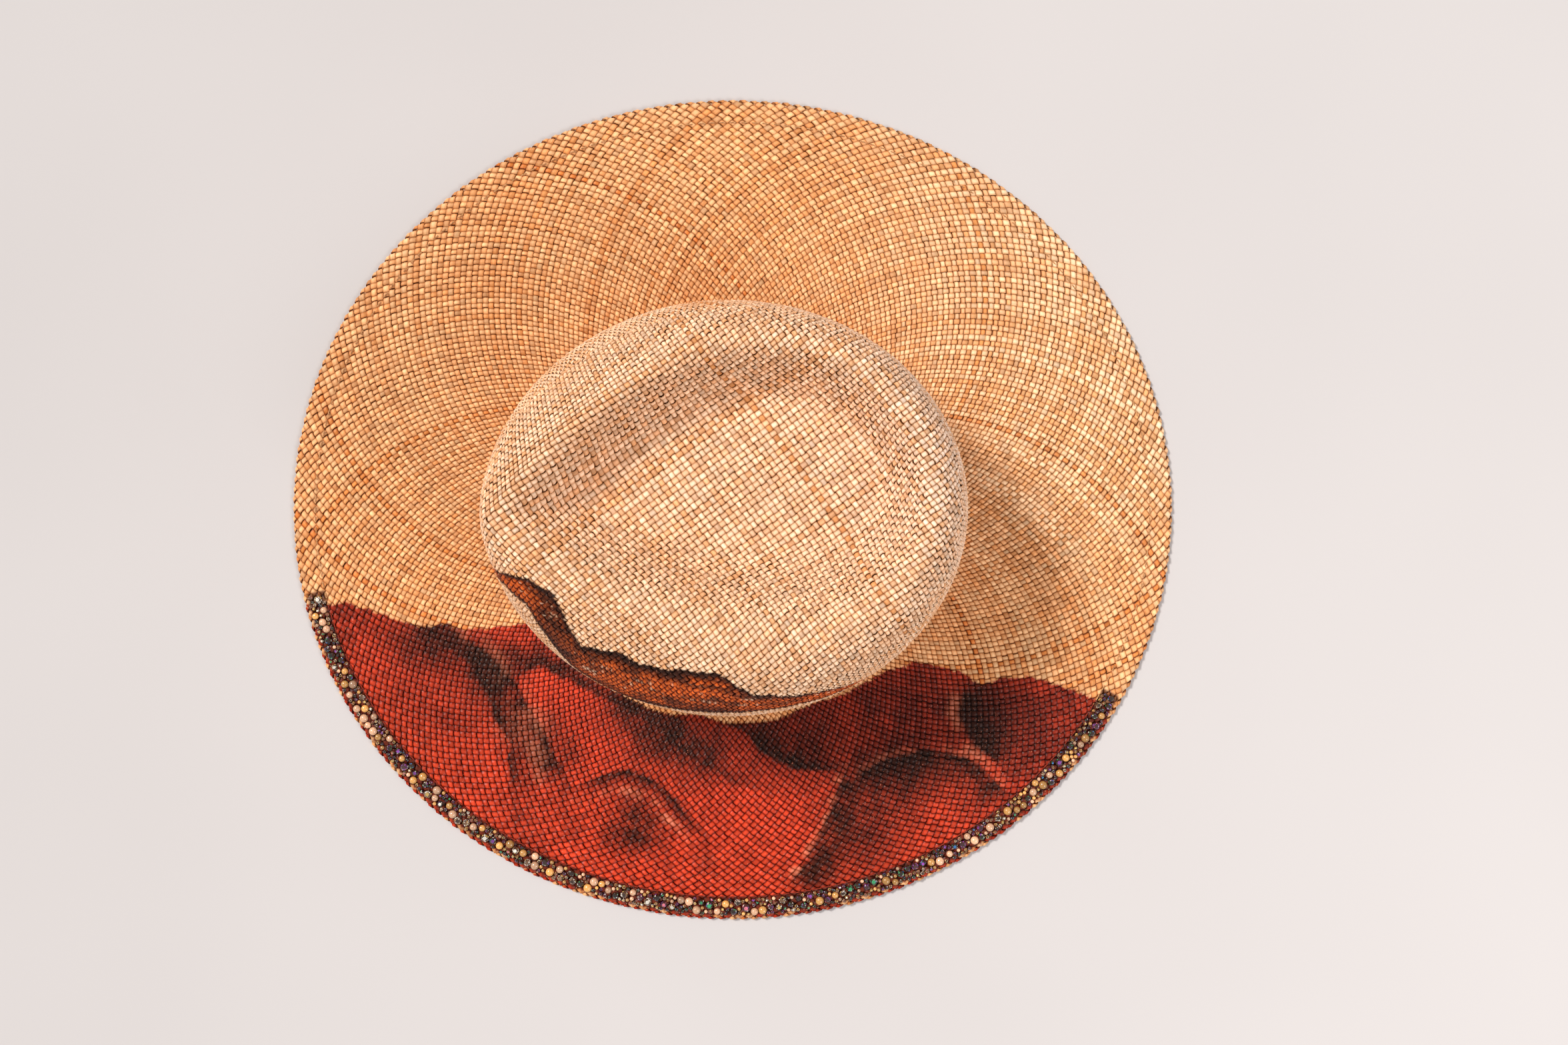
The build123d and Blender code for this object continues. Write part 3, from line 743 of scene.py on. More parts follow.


def straw_material():
    """Split straw: fine fibres along each strand over its own tint, glossier where it is painted, with a
    painted highlight along each strand's middle and painted shade at its edges and in its gaps.
    """
    made = Material("straw_strands", roughness=0.5, specular=0.3)
    fibres = made.noise((0.35, 9.0, 1.0), uv=True, detail=4.0)
    patches = made.noise((0.22, 1.1, 1.0), uv=True, detail=2.0)
    flecks = made.noise((2.2, 3.4, 1.0), uv=True, detail=1.0)
    shade = made.ramp(fibres, (0.30, grey(0.80)), (0.52, grey(1.0)), (0.72, grey(1.13)))
    tone = made.ramp(patches, (0.30, (0.90, 0.86, 0.80)), (0.60, (1.02, 1.02, 1.02)))
    place = made.channels(made.attribute("form"))
    # Painted shade and highlight by the place on the strand: lighter along its middle, darker at its edges
    # and where it dips under another.
    across = made.ramp(place["Red"], (0.30, STRAND_HIGHLIGHT), (0.80, EDGE_SHADE), (1.0, BORDER_SHADE))
    along = made.ramp(place["Green"], (0.30, GAP_SHADE), (0.52, EDGE_SHADE), (0.90, STRAND_HIGHLIGHT))
    relief = made.times(across, along)

    # Paint has far less blue than straw, so the tint's blue tells bare straw from painted straw.
    tint = made.attribute("tint")
    bare = made.ramp(made.channels(tint)["Blue"], (0.04, grey(0.0)), (0.12, grey(1.0)))
    # On the paint the painted shade is squared, so it is deeper there.
    relief = made.mix("MIX", made.times(relief, relief), relief, bare)
    straw = made.times(made.times(made.times(tint, shade), tone), relief)
    specks = made.ramp(flecks, (0.68, grey(0.0)), (0.74, grey(0.5)))
    worn = made.times(specks, made.mix("MIX", grey(1.0), grey(0.0), bare))
    made.colour(made.mix("MIX", straw, PALE_FLECK, worn))
    gloss = made.spots(fibres, grey(0.62), grey(0.42))
    made.drive("roughness", made.mix("MIX", grey(0.34), gloss, bare))
    made.drive("specular_IOR_level", made.mix("MIX", grey(0.16), grey(0.30), bare))
    made.bump(fibres, 0.00007)
    return made.material


# ---- Strands ----
# A strand's height is taken this far each side of every crossing, at three points across it.
SAMPLE_PLACE = 0.25
ACROSS = np.array([-0.5, 0.0, 0.5])
# How a strand varies along its way: how much, and over how many crossings.
WANDER = (0.04, 5.0)  # sideways, as a share of its spacing
SWELL = (0.03, 7.0)  # in width
ROLL = (0.05, 3.0)  # one edge up and the other down
WIDTH_SPREAD = 0.045  # how much strands differ in width
WIDTH_LIMITS = (-0.1, 0.08)
CROSSING_SPREAD = 0.12  # how much crossings differ in height and in brightness
SHADE_LIMITS = (0.70, 1.22)
END_DIP = -0.75  # strands end this far under the surface, in mm
FLOOR_GAP = 0.02  # and stay this far over the floor
STRAND_SHIFT = 1.37  # how far apart two neighbours' fibres lie in the straw's coordinates
PAINTED_LIGHT_TONE = np.array([1.05, 1.30, 1.70])  # painted light: paler, lighter straw at the back on the wearer's right
PAINTED_LIGHT_Y = (10, 190)  # where it starts and is full
PAINTED_LIGHT_X = (60, -30)
BRIM_TONE = np.array([0.96, 0.78, 0.55])  # the brim's straw against the crown's
BRIM_TONE_START = 60  # how far above the foot it starts
LEAST_STRAND = 4  # samples that the shortest strand has


def slow_random(strands, phases, spread, reach):
    """Random values that change slowly along every strand."""
    place = (phases - phases.min()) / reach
    values = rng.normal(0, spread, (strands, int(place.max()) + 2))
    low = place.astype(int)
    return blend(values[:, low], values[:, low + 1], smooth_step(0, 1, place - low))


def per_crossing(strands, phases, draw):
    """One random value for every crossing, the same at both of its samples."""
    crossing = np.rint(phases).astype(int)
    crossing -= crossing.min()
    return draw((strands, crossing.max() + 1))[:, crossing]


def near_one(size):
    return rng.normal(1.0, CROSSING_SPREAD, size)


def ribbons(strands, phases, over, place, spacing, dips, mean_width=STRAND_WIDTH):
    """The strips of one family: strands by samples by three across, as points, tints and coordinates."""
    count = len(strands)
    wander = slow_random(count, phases, *WANDER)
    least, most = [mean_width + limit for limit in WIDTH_LIMITS]
    width = rng.normal(mean_width, WIDTH_SPREAD, (count, 1)).clip(least, most)
    width = width * (1 + slow_random(count, phases, *SWELL))
    roll = slow_random(count, phases, *ROLL)
    lift = per_crossing(count, phases, near_one)
    speck = per_crossing(count, phases, rng.random)
    shade = per_crossing(count, phases, near_one).clip(*SHADE_LIMITS)
    tint = strand_tints(count)

    offset = wander[..., None] + ACROSS * width[..., None]
    distance, turn = place(strands[:, None, None], offset, phases[:, None])
    form = roll[..., None] * ACROSS - STRAND_CROWNING * (ACROSS != 0)
    height = (STRAND_WAVE * (over * lift)[..., None] + form) * spacing(distance)
    for end in dips:
        height[:, end] = END_DIP
    point = skin.point(distance, turn) + skin.normal(distance, turn) * height[..., None]

    colour = tint[:, None, None, :] * shade[..., None, None]
    outward = smooth_step(skin.foot_length - BRIM_TONE_START, skin.foot_length, distance)
    colour = colour * mixed(np.ones(3), BRIM_TONE, outward)
    # Painted light: the straw is made paler and lighter at the back on the wearer's right.
    painted_light_share = smooth_step(*PAINTED_LIGHT_Y, point[..., 1]) * smooth_step(*PAINTED_LIGHT_X, point[..., 0])
    colour = colour * mixed(np.ones(3), PAINTED_LIGHT_TONE, painted_light_share)
    colour = painted(colour, point, distance, turn, speck[..., None])

    # Where on the strand a point is, for the material's painted shade and highlight: red is 0 along its
    # middle and 1 at its edges, and green is 1 where it lies over the other family and 0 where it lies
    # under.
    form = np.ones(point.shape)
    form[..., 0] = np.abs(ACROSS) * 2
    form[..., 1] = (over > 0)[..., None]
    point[..., 2] = np.maximum(point[..., 2], FLOOR_GAP)
    along = np.broadcast_to(phases[:, None], distance.shape)
    side = strands[:, None, None] * STRAND_SHIFT + 0.5 + ACROSS + 0 * along
    return point, colour, np.stack([along, side], axis=-1), form


def ring_growth():
    """How far strands go round, in turns, on their slanted way out from the seam, and their spacing."""
    distance = np.arange(skin.count) * skin.step
    share = smooth_step(skin.foot_length - SLANT_START, skin.edge_length, distance)
    slant = np.radians(WALL_SLANT + (EDGE_SLANT - WALL_SLANT) * share)
    rate = np.tan(slant) / skin.girth
    growth = np.concatenate([[0.0], np.cumsum((rate[1:] + rate[:-1]) / 2 * skin.step)])
    growth -= np.interp(skin.seam - SEAM_OVERLAP, distance, growth)
    return distance, growth, skin.girth * np.cos(slant) / RING_STRANDS


ring_distance, ring_turned, ring_spacing = ring_growth()
ROW_TURN = 0.5 / RING_STRANDS  # turns from one row of crossings to the next
LAST_ROW = int(ring_turned[-1] / ROW_TURN) - 1
FOOT_CROSSING = int(np.interp(skin.foot_length, ring_distance, ring_turned) / ROW_TURN)


def spacing_in_rings(distance):
    return np.interp(distance, ring_distance, ring_spacing)


def ring_place(lean):
    """Where a strand of the ring weave is, by its number, the offset across it and its row."""
    def place(strand, offset, row):
        growth = (row - lean * offset) * ROW_TURN
        turn = (strand * 2 + offset + lean * row) * ROW_TURN * TAU
        distance = np.interp(growth, ring_turned, ring_distance)
        return distance, np.broadcast_to(turn, distance.shape)
    return place


def ring_strands(name, material, lean, first, last):
    """One family of strands, leaning left or right, from one row of crossings to another."""
    rows = np.arange(first, last, 0.5) + SAMPLE_PLACE
    over = np.where(np.rint(rows) % 2 == 0, lean, -lean) * np.ones((RING_STRANDS, 1))
    dips = [0] if first == 0 else []
    strands = np.arange(RING_STRANDS)
    strips = ribbons(strands, rows, over, ring_place(lean), spacing_in_rings, dips, RING_WIDTHS[lean])
    return strips_piece(name, strip_faces(RING_STRANDS, len(rows)), material, *strips)


def top_axes(along_first):
    """The directions, in the unrolled plane, across a family's strands and along them."""
    angle = math.radians(TOP_SLANT)
    first = np.array([math.cos(angle), math.sin(angle)])
    second = np.array([-math.sin(angle), math.cos(angle)])
    return (first, second) if along_first else (second, first)


def top_place(along_first):
    """Where a strand of the top's square weave is, by its number, the offset across it and its crossing."""
    cross_axis, run_axis = top_axes(along_first)

    def place(strand, offset, crossing):
        side = (strand + offset)[..., None]
        plane = TOP_PITCH * (side * cross_axis + (crossing[..., None] + 0 * side) * run_axis)
        return skin.place_on_top(plane[..., 0], plane[..., 1])
    return place


def top_strands(name, material, along_first):
    """One family of the square weave on top, every strand ending at the seam, under the ring weave."""
    cross_axis, run_axis = top_axes(along_first)
    side = skin.border / TOP_PITCH @ cross_axis
    along = skin.border / TOP_PITCH @ run_axis
    parts = []
    faces = []
    start = 0
    for strand in range(math.ceil(side.min()), math.floor(side.max()) + 1):
        ends = along[(side - strand) * (np.roll(side, -1) - strand) <= 0]
        if len(ends) < 2:
            continue
        low = math.ceil(ends.min() * 2 - 0.5)
        high = math.floor(ends.max() * 2 - 0.5)
        steps = np.arange(low, high + 1) * 0.5 + SAMPLE_PLACE
        if len(steps) < LEAST_STRAND:
            continue
        even = (strand + np.rint(steps)) % 2 == 0
        over = np.where(even == along_first, 1.0, -1.0)[None, :]
        strips = ribbons(
            np.array([strand]), steps, over, top_place(along_first),
            lambda distance: TOP_PITCH * TOP_SPACING + 0 * distance, [0, -1],
        )
        parts.append(strips)
        faces.append(strip_faces(1, len(steps)) + start)
        start += strips[0].size // 3
    strips = [np.concatenate([part.reshape(-1, part.shape[-1]) for part in kind]) for kind in zip(*parts)]
    return strips_piece(name, np.concatenate(faces), material, *strips)


# ---- The sheet behind the strands: painted shade in the gaps, and the straw's inner face ----
BACKING_DEPTH = 0.70  # of its outer and inner faces under the middle of the straw, in mm
LINING_DEPTH = 0.77
FOLD_BACKING_DEPTH = 0.3  # how much deeper it lies at the brim's fold, where the strands cut the corner
FOLD_BACKING_REACH = 2.2
BACKING_STEP = 2.4  # between its rows, the first of which is a small ring
BACKING_START = 0.6
ROOT_ROWS = (-16, 4, 0.9)  # finer rows near the crown's foot: from, to and step
FOLD_ROWS = (-0.5, 3.5, 0.5)  # and near the fold at the edge
BACKING_TURNS = 240
SHADED_PAINT_SHARE = 0.55  # painted shade: how much of the paint, darkened, and of the shadow brown its tint holds
BROWN_SHADE_SHARE = 0.2


def backing_material():
    """What shows in the gaps between strands: painted shade, a dark brown for straw in shadow, with the
    paint darkened where it ran.
    """
    made = Material("straw_gaps", roughness=0.9, specular=0.1)
    fibres = made.spots(made.noise(grey(900)), grey(0.7), grey(1.1))
    made.colour(made.times(made.attribute("tint"), fibres))
    return made.material


def lining_material():
    """The inner face of the straw: the same weave seen from behind, with softer relief and painted shade in
    its gaps.
    """
    made = Material("straw_inner_face", roughness=0.65, specular=0.3)
    place = made.coordinates(grey(1), uv=True)
    split = made.node("SeparateXYZ")
    made.link(place, split.inputs[0])
    waves = []
    for axis in ("X", "Y"):
        wave = made.math("SINE", made.math("MULTIPLY", split.outputs[axis], math.pi))
        waves.append(made.math("ABSOLUTE", wave))
    relief = made.math("MAXIMUM", *waves)
    other_tone = mixed(STRAW_TONE, TAN, 0.6)
    checks = made.node("TexChecker", Scale=1.0, Color1=(*STRAW_TONE, 1), Color2=(*other_tone, 1))
    made.link(place, checks.inputs["Vector"])
    # Painted shade in the gaps of the weave.
    gaps = made.ramp(relief, (0.25, SHADOW_BROWN), (0.75, grey(1.0)))
    fibres = made.spots(made.noise((14, 1.2, 1), uv=True), grey(0.82), grey(1.08))
    made.colour(made.times(made.times(checks.outputs["Color"], gaps), fibres))
    made.bump(relief, 0.0004, 0.8)
    return made.material


def finer_rows(middle, span):
    low, high, step = span
    return np.arange(middle + low, middle + high, step)


def straw_body():
    """The closed sheet behind the strands, folded under at the brim's edge; its outer face is painted shade
    in the gaps.
    """
    distance = np.unique(np.concatenate([
        np.arange(BACKING_START, skin.length, BACKING_STEP), [skin.length],
        finer_rows(skin.foot_length, ROOT_ROWS), finer_rows(skin.edge_length, FOLD_ROWS),
    ]))
    rows = len(distance)
    shape = (rows, BACKING_TURNS)
    place = np.broadcast_to(distance[:, None], shape)
    turn = np.broadcast_to(np.arange(BACKING_TURNS) * TAU / BACKING_TURNS, shape)
    middle = skin.point(place, turn)
    normal = skin.normal(place, turn)
    away = (distance - skin.edge_length - 0.5 * math.pi * FOLD_CENTRE) / FOLD_BACKING_REACH
    held = FOLD_BACKING_DEPTH * np.exp(-away ** 2)[:, None, None]
    outer = middle - normal * (BACKING_DEPTH + held)
    inner = middle - normal * (LINING_DEPTH + held)
    ends = [outer[0].mean(axis=0), inner[0].mean(axis=0)]
    points = np.concatenate([outer.reshape(-1, 3), inner.reshape(-1, 3), ends])

    # The outer face, the inner face, the rim that joins them, and a small cap on each at the middle.
    first = np.arange(place.size).reshape(shape)
    second = first + place.size
    rim_rows = np.stack([first[-1], second[-1]])
    faces = []
    for table, order in ((first, (0, 3, 2, 1)), (second, (0, 1, 2, 3)), (rim_rows, (0, 3, 2, 1))):
        faces += quads(table, np.roll(table, -1, axis=1))[..., order].reshape(-1, 4).tolist()
    for a, b in zip(first[0], np.roll(first[0], -1)):
        faces.append((len(points) - 2, a, b))
    for a, b in zip(second[0], np.roll(second[0], -1)):
        faces.append((len(points) - 1, b, a))
    sheet = (rows - 1) * BACKING_TURNS
    inside = np.zeros(len(faces), np.int32)
    inside[sheet:2 * sheet] = 1
    inside[-BACKING_TURNS:] = 1
    materials = [backing_material(), lining_material()]
    mesh = make_mesh("straw_body", points, faces, materials, slots=inside)

    # Painted shade: the outer face gets the shadow brown, with the paint darkened over it.
    tint = np.broadcast_to(SHADOW_BROWN, (*shape, 3))
    tint = painted(tint, outer, place, turn, np.full(shape, 0.5)) * SHADED_PAINT_SHARE + tint * BROWN_SHADE_SHARE
    tint = tint.reshape(-1, 3)
    add_colours(mesh, "tint", np.concatenate([tint, tint, [SHADOW_BROWN, SHADOW_BROWN]]))

    # Straw coordinates: one step for each crossing, with the seam's faces carried on past a whole turn.
    turned = np.interp(distance, ring_distance, ring_turned) / ROW_TURN
    corner = np.zeros(len(mesh.loops), np.int32)
    mesh.loops.foreach_get("vertex_index", corner)
    index = corner % place.size
    row = turned[index // BACKING_TURNS]
    column = (index % BACKING_TURNS) / BACKING_TURNS
    owner = np.repeat(np.arange(len(faces)), [len(face) for face in faces])
    last = np.zeros(len(faces), bool)
    np.maximum.at(last, owner, column > 0.9)
    column = np.where(last[owner] & (column < 0.1), column + 1, column) / ROW_TURN
    add_weave(mesh, np.stack([(column + row) / 2, (column - row) / 2], axis=-1))
    return add_object("straw_body", mesh)


# ---- Stones ----
# A cut stone's rings of corners: reach and height as shares of its own, and twist in sides.
STONE_RINGS = ((1.0, 0.0, 0), (1.0, 0.22, 0), (0.78, 0.66, 0.5), (0.46, 1.0, 0))
STONE_TILT = 0.05
LARGE_STONE = 1.3  # stones over this radius have 10 sides and the others 8
DOME_SIDES = 14
DOME_LEVELS = 6
SMALL_PEARLS = 0.35  # share of the small stones that are pearls, in the colours that have them
PEARL_TONES = (0.45, 1.2)
REFLECTION_SPREAD = 0.3  # painted reflections: how much a stone's facets differ in brightness
REFLECTION_TONES = (0.4, 1.8)
GLINT_TONES = (0.5, 1.0)


def loose_parts(node):
    """The place, heights and radius of every stone in a CAD node, in millimetres."""
    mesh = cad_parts[node].data
    points = np.zeros(len(mesh.vertices) * 3)
    mesh.vertices.foreach_get("co", points)
    keys, index = np.unique(np.round(points.reshape(-1, 3) / MM, 3), axis=0, return_inverse=True)
    edges = np.zeros(len(mesh.edges) * 2, np.int32)
    mesh.edges.foreach_get("vertices", edges)
    edges = index.ravel()[edges.reshape(-1, 2)]
    label = np.arange(len(keys))
    before = None
    while not np.array_equal(label, before):
        before = label.copy()
        low = label[edges].min(axis=1)
        np.minimum.at(label, edges[:, 0], low)
        np.minimum.at(label, edges[:, 1], low)
        label = label[label]
    found = []
    for part in np.unique(label):
        own = keys[label == part]
        middle = (own.min(axis=0) + own.max(axis=0)) / 2
        radius = np.hypot(*(own[:, :2] - middle[:2]).T).max()
        found.append((middle[0], middle[1], own[:, 2].min(), own[:, 2].max(), radius))
    return found


def painted_facet_glints(base, glints, count):
    """A tone for each facet: painted reflections, mostly the stone's own tone, with some bright and some
    coloured painted glints.
    """
    tone = base * rng.normal(1.0, REFLECTION_SPREAD, (count, 1)).clip(*REFLECTION_TONES)
    pick = rng.random(count)
    below = 0.0
    for share, glint in glints:
        chosen = (pick >= below) & (pick < share)
        tone[chosen] = glint * rng.uniform(*GLINT_TONES, (chosen.sum(), 1))
        below = share
    return tone


def stone_ring(x, y, z, reach, angle):
    return np.stack([x + reach * np.cos(angle), y + reach * np.sin(angle), z + 0 * angle], axis=-1)


def faceted_stone(x, y, low, high, radius):
    """A cut stone: a flat table, two rows of facets and a narrow girdle."""
    sides = 10 if radius > LARGE_STONE else 8
    spin = rng.uniform(0, TAU)
    tilt = rng.normal(0, STONE_TILT, 2)
    points = []
    for share, height, twist in STONE_RINGS:
        angle = spin + (np.arange(sides) + twist) * TAU / sides
        corners = stone_ring(x, y, low + (high - low) * height, radius * share, angle)
        corners[:, 2] += ((corners[:, 0] - x) * tilt[0] + (corners[:, 1] - y) * tilt[1]) * height
        points.append(corners)
    faces = []
    for k in range(sides):
        n = (k + 1) % sides
        faces.append((k, n, sides + n, sides + k))
        faces.append((sides + k, sides + n, 2 * sides + k))
        faces.append((sides + n, 2 * sides + n, 2 * sides + k))
        faces.append((2 * sides + k, 2 * sides + n, 3 * sides + n))
        faces.append((2 * sides + k, 3 * sides + n, 3 * sides + k))
    faces.append(tuple(range(3 * sides, 4 * sides)))
    return np.concatenate(points), faces


def domed_stone(x, y, low, high, radius):
    """A smooth half pearl."""
    angle = np.arange(DOME_SIDES) * TAU / DOME_SIDES
    points = []
    for level in range(DOME_LEVELS):
        rise = math.radians(90 * level / DOME_LEVELS)
        points.append(stone_ring(x, y, low + (high - low) * math.sin(rise), radius * math.cos(rise), angle))
    points.append([[x, y, high]])
    rings = np.arange(DOME_SIDES * DOME_LEVELS).reshape(DOME_LEVELS, DOME_SIDES)
    after = np.roll(rings, -1, axis=1)
    faces = quads(rings, after).reshape(-1, 4).tolist()
    faces += [(a, b, rings.size) for a, b in zip(rings[-1], after[-1])]
    return np.concatenate(points), faces


def stone_material(name, roughness, specular, coat):
    made = Material(name, roughness, specular, coat_weight=coat, coat_roughness=0.06)
    dust = made.ramp(made.noise(grey(1500)), (0.35, grey(0.82)), (0.65, grey(1.1)))
    made.colour(made.times(made.attribute("tint"), dust))
    return made.material


def stones(colour, base, glints, pearl_tone, cut, pearl):
    """All stones of one colour as one piece: cut glass, with pearls if there is a pearl tone."""
    points = []
    faces = []
    tints = []
    smooth = []
    start = 0
    nodes = {size: f"rhinestones_{colour}_{size}" for size in ("large", "small")}
    for size, node in nodes.items():
        for stone in loose_parts(node):
            domed = pearl_tone is not None and (size == "large" or rng.random() < SMALL_PEARLS)
            own_points, own_faces = domed_stone(*stone) if domed else faceted_stone(*stone)
            if domed:
                tints.append(np.tile(pearl_tone * rng.uniform(*PEARL_TONES), (len(own_faces), 1)))
            else:
                tints.append(painted_facet_glints(base, glints, len(own_faces)))
            points.append(own_points)
            faces += [[start + index for index in face] for face in own_faces]
            smooth += [domed] * len(own_faces)
            start += len(own_points)
    name = f"rhinestones_{colour}"
    materials = [cut] if pearl_tone is None else [cut, pearl]
    mesh = make_mesh(name, np.concatenate(points), faces, materials, smooth, smooth)
    corners = np.repeat(np.concatenate(tints), [len(face) for face in faces], axis=0)
    add_colours(mesh, "tint", corners, "CORNER")
    piece = add_object(name, mesh)
    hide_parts(*nodes.values())
    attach(piece, "root")


# ---- Materials of the CAD pieces ----
# The painted side, for the stitches: x + slope * y is past this, in metres.
PAINT_SLOPE = -0.13
PAINT_START = 0.069


def grained(name, colour, dark, scale, detail=4.0, **looks):
    """One colour, mottled by a grain down to a darker share of it. Gives the material and the grain."""
    made = Material(name, **looks)
    grain = made.noise(scale, detail=detail)
    made.colour(made.spots(grain, colour * dark, colour))
    return made, grain


def thread_material(name, colour):
    made, twist = grained(name, colour, 0.55, grey(1400), roughness=0.75, specular=0.25)
    made.bump(twist, 0.0002)
    return made


def hem_thread_material():
    """Straw-coloured thread, painted over along the painted side."""
    made = Material("hem_thread", roughness=0.75, specular=0.25)
    twist = made.noise(grey(1400), detail=4.0)
    plain = made.spots(twist, rgb(150, 104, 64), rgb(222, 168, 116))
    paint = made.spots(twist, rgb(96, 30, 18), rgb(160, 52, 30))
    border = made.node("VectorMath", operation="DOT_PRODUCT")
    border.inputs[1].default_value = (1.0, PAINT_SLOPE, 0.0)
    made.link(made.node("TexCoord").outputs["Object"], border.inputs[0])
    past = made.math("GREATER_THAN", border.outputs["Value"], PAINT_START)
    made.colour(made.mix("MIX", plain, paint, past))
    made.bump(twist, 0.0002)
    return made


def leather_material(name, dark, light):
    made = Material(name, roughness=0.55, specular=0.35)
    grain = made.node("TexVoronoi", Scale=1.0, feature="DISTANCE_TO_EDGE")
    made.link(made.coordinates(grey(900)), grain.inputs["Vector"])
    tone = made.spots(made.noise(grey(60), detail=4.0), dark, light)
    pores = made.ramp(grain.outputs["Distance"], (0.02, grey(0.7)), (0.18, grey(1.0)))
    made.colour(made.times(tone, pores))
    made.bump(grain.outputs["Distance"], 0.0002, 0.6)
    return made


def cloth_material(name, colour, rib=1700):
    made = Material(name, roughness=0.7, specular=0.25, sheen_weight=0.2)
    warp = made.node("TexWave", Scale=1.0, Distortion=0.4)
    made.link(made.coordinates(grey(rib)), warp.inputs["Vector"])
    tone = made.spots(made.noise(grey(200)), colour * 0.75, colour)
    ribs = made.ramp(warp.outputs["Fac"], (0.2, grey(0.75)), (0.8, grey(1.0)))
    made.colour(made.times(tone, ribs))
    made.bump(warp.outputs["Fac"], 0.0001)
    return made


def metal_material(name, colour):
    made, scratches = grained(name, colour, 0.75, (300, 2500, 300), roughness=0.3, metallic=1.0)
    made.drive("roughness", made.spots(scratches, grey(0.25), grey(0.45)))
    return made


def plastic_material(name, colour):
    made, haze = grained(name, colour, 0.85, grey(250), detail=3.0, roughness=0.4)
    made.bump(haze, 0.00005)
    return made


def dress_cad_nodes():
    finishes = {
        "brim_wire": metal_material("wire_steel", rgb(168, 170, 174)),
        "wire_joiner": metal_material("joiner_brass", rgb(196, 160, 92)),
        "hem_stitches": hem_thread_material(),
        "sweatband": leather_material("band_leather", rgb(120, 82, 56), rgb(160, 116, 82)),
        "sweatband_reed": plastic_material("reed_plastic", rgb(232, 224, 208)),
        "sweatband_stitches": thread_material("band_thread", rgb(206, 182, 150)),
        "sweatband_seam": cloth_material("seam_tape", rgb(150, 112, 80)),
        "sweatband_bow": cloth_material("bow_ribbon", rgb(96, 62, 44)),
        "size_tag": cloth_material("tag_cloth", rgb(240, 236, 226), rib=2600),
    }
    for node, made in finishes.items():
        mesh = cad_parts[node].data
        mesh.materials.clear()
        mesh.materials.append(made.material)


# ---- The hat ----
def make_straw():
    straw = straw_material()
    body = straw_body()
    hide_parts("woven_body", "brim_hem")
    pieces = [
        body,
        top_strands("top_strands_long", straw, True),
        top_strands("top_strands_cross", straw, False),
        ring_strands("wall_strands_left", straw, 1, 0, FOOT_CROSSING),
        ring_strands("wall_strands_right", straw, -1, 0, FOOT_CROSSING),
        ring_strands("brim_strands_left", straw, 1, FOOT_CROSSING - 0.5, LAST_ROW),
        ring_strands("brim_strands_right", straw, -1, FOOT_CROSSING - 0.5, LAST_ROW),
    ]
    for piece in pieces:
        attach(piece, "root")


def make_stones():
    """Each colour has a tone and painted glints, some of them dark, each glint with the share of facets up
    to and with it.
    """
    cut = stone_material("cut_glass", 0.10, 0.6, 1.0)
    pearl = stone_material("pearl_coating", 0.25, 0.5, 0.7)
    green = rgb(60, 170, 110)
    purple = rgb(150, 72, 176)
    blue = rgb(56, 130, 200)
    white = rgb(255, 246, 232)
    pink = rgb(226, 120, 140)
    lemon = rgb(246, 204, 116)
    shades = {
        "jet": (rgb(40, 22, 14), ((0.06, green), (0.11, purple), (0.14, blue), (0.18, white))),
        "crystal": (rgb(116, 84, 60), ((0.20, white), (0.28, lemon), (0.55, rgb(60, 38, 26)))),
        "violet": (rgb(66, 34, 40), ((0.14, purple), (0.20, pink), (0.25, white))),
        "gold": (rgb(134, 84, 44), ((0.24, lemon), (0.30, white), (0.50, rgb(64, 42, 22)))),
        "peach": (rgb(120, 74, 50), ((0.10, pink), (0.16, green), (0.24, lemon))),
    }
    pearls = {"gold": rgb(230, 168, 92), "peach": rgb(236, 184, 146)}
    for colour, (base, glints) in shades.items():
        stones(colour, base, glints, pearls.get(colour), cut, pearl)


make_straw()
make_stones()
dress_cad_nodes()


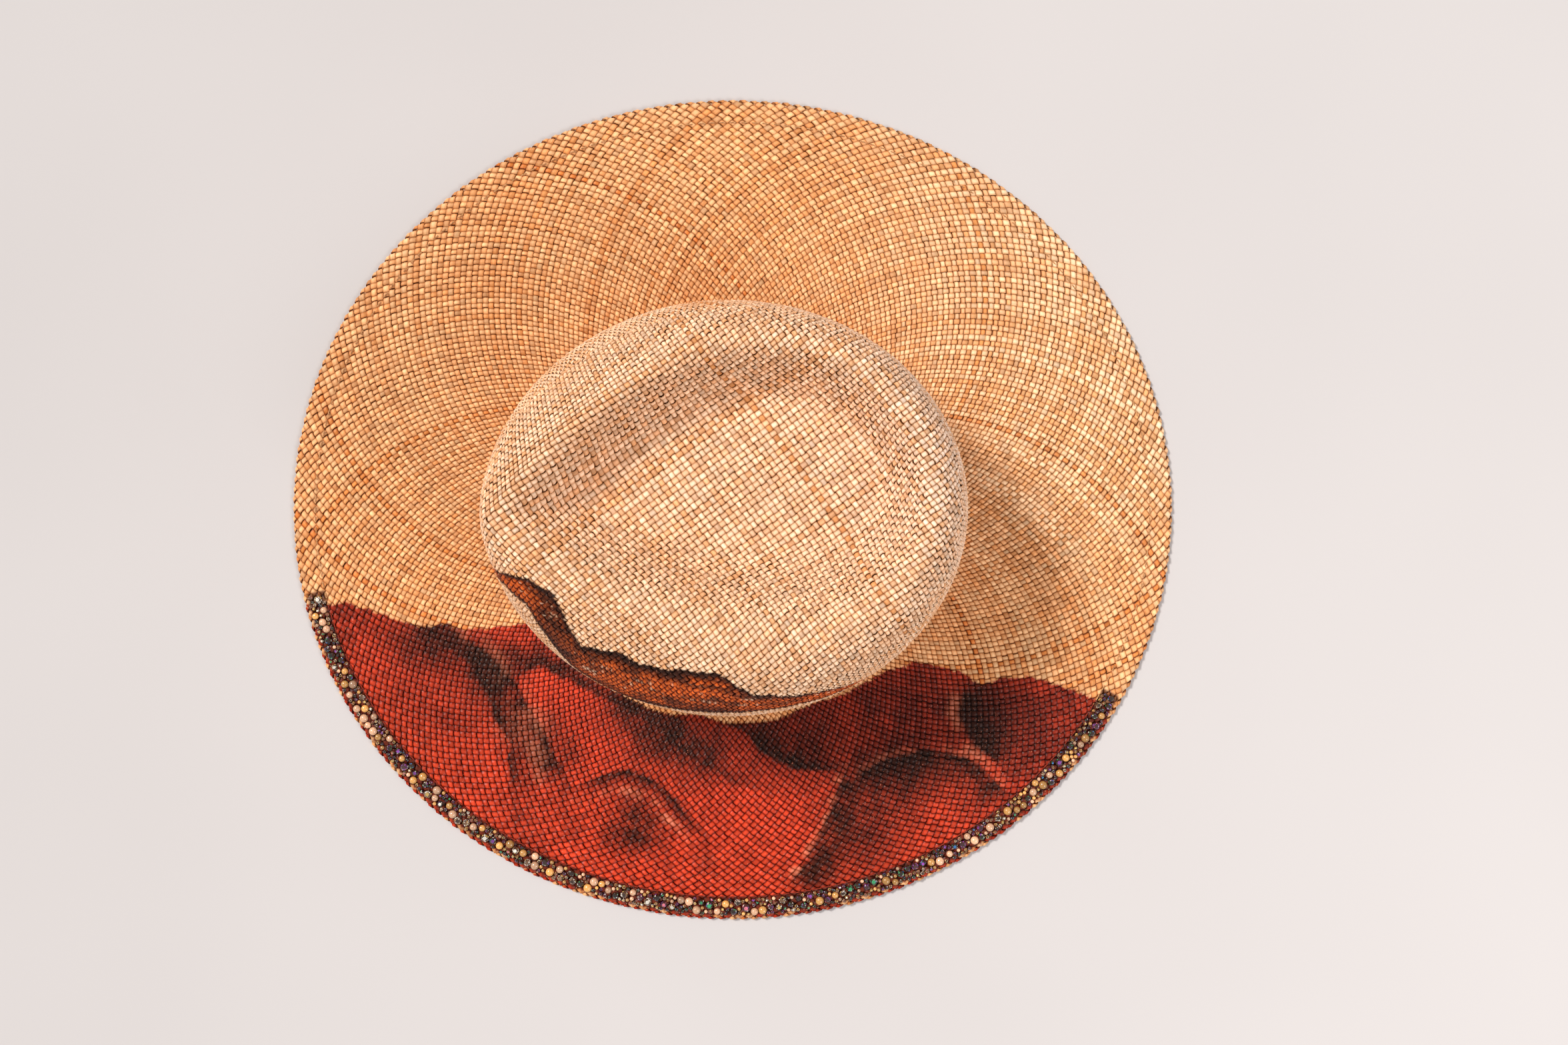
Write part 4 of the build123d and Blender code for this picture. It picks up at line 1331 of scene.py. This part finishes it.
# ---- Floor, light and camera, the last two in metres ----
FLOOR_HALF = 30000.0  # in mm: wide enough that the floor's edges stay out of every view
KEY_PATH = (2.3, 3.1, -4.2)  # the way the sunlight goes
WORLD_TONE = (1.0, 0.97, 0.95, 1.0)
WORLD_STRENGTH = 0.46
CAMERA_PLACE = (0.006, 0.024, 0.715)


def make_floor():
    """A plain pale sheet."""
    made = Material("floor_paper", roughness=0.9, specular=0.2)
    made.colour(made.spots(made.noise(grey(3), detail=2.0), rgb(203, 198, 198), rgb(208, 203, 203)))
    corners = [(x * FLOOR_HALF, y * FLOOR_HALF, 0) for x, y in ((-1, -1), (1, -1), (1, 1), (-1, 1))]
    floor = add_object("floor", make_mesh("floor", corners, [(0, 1, 2, 3)], [made.material], False))


def add_light(name, kind, direction, place=(0, 0, 0), **settings):
    light = bpy.data.lights.new(name, kind)
    for key, value in settings.items():
        setattr(light, key, value)
    lamp = add_object(name, light)
    lamp.location = place
    lamp.rotation_euler = Vector(direction).to_track_quat("-Z", "Y").to_euler()


def make_lights():
    add_light("key", "SUN", KEY_PATH, energy=2.68, angle=math.radians(14), color=(1.0, 0.97, 0.92))
    add_light(
        "fill", "AREA", (-0.60, -0.75, -1.5), place=(0.95, 1.25, 1.5),
        shape="DISK", size=1.0, energy=17, color=(1.0, 1.0, 0.99),
    )
    world = bpy.data.worlds.new("studio")
    bpy.context.scene.world = world
    world.use_nodes = True
    background = world.node_tree.nodes["Background"]
    background.inputs["Color"].default_value = WORLD_TONE
    background.inputs["Strength"].default_value = WORLD_STRENGTH


def make_camera():
    """Straight overhead, a little off the crown's middle, with the hat's left side at the bottom."""
    camera = bpy.data.cameras.new("camera")
    camera.lens = 35.0
    camera.sensor_width = 36.0
    made = add_object("camera", camera)
    made.location = CAMERA_PLACE
    made.rotation_euler = (0, 0, math.pi / 2)
    bpy.context.scene.camera = made


# Plain colours, as a camera with a standard profile gives them.
bpy.context.scene.view_settings.view_transform = "Standard"
make_floor()
make_lights()
make_camera()
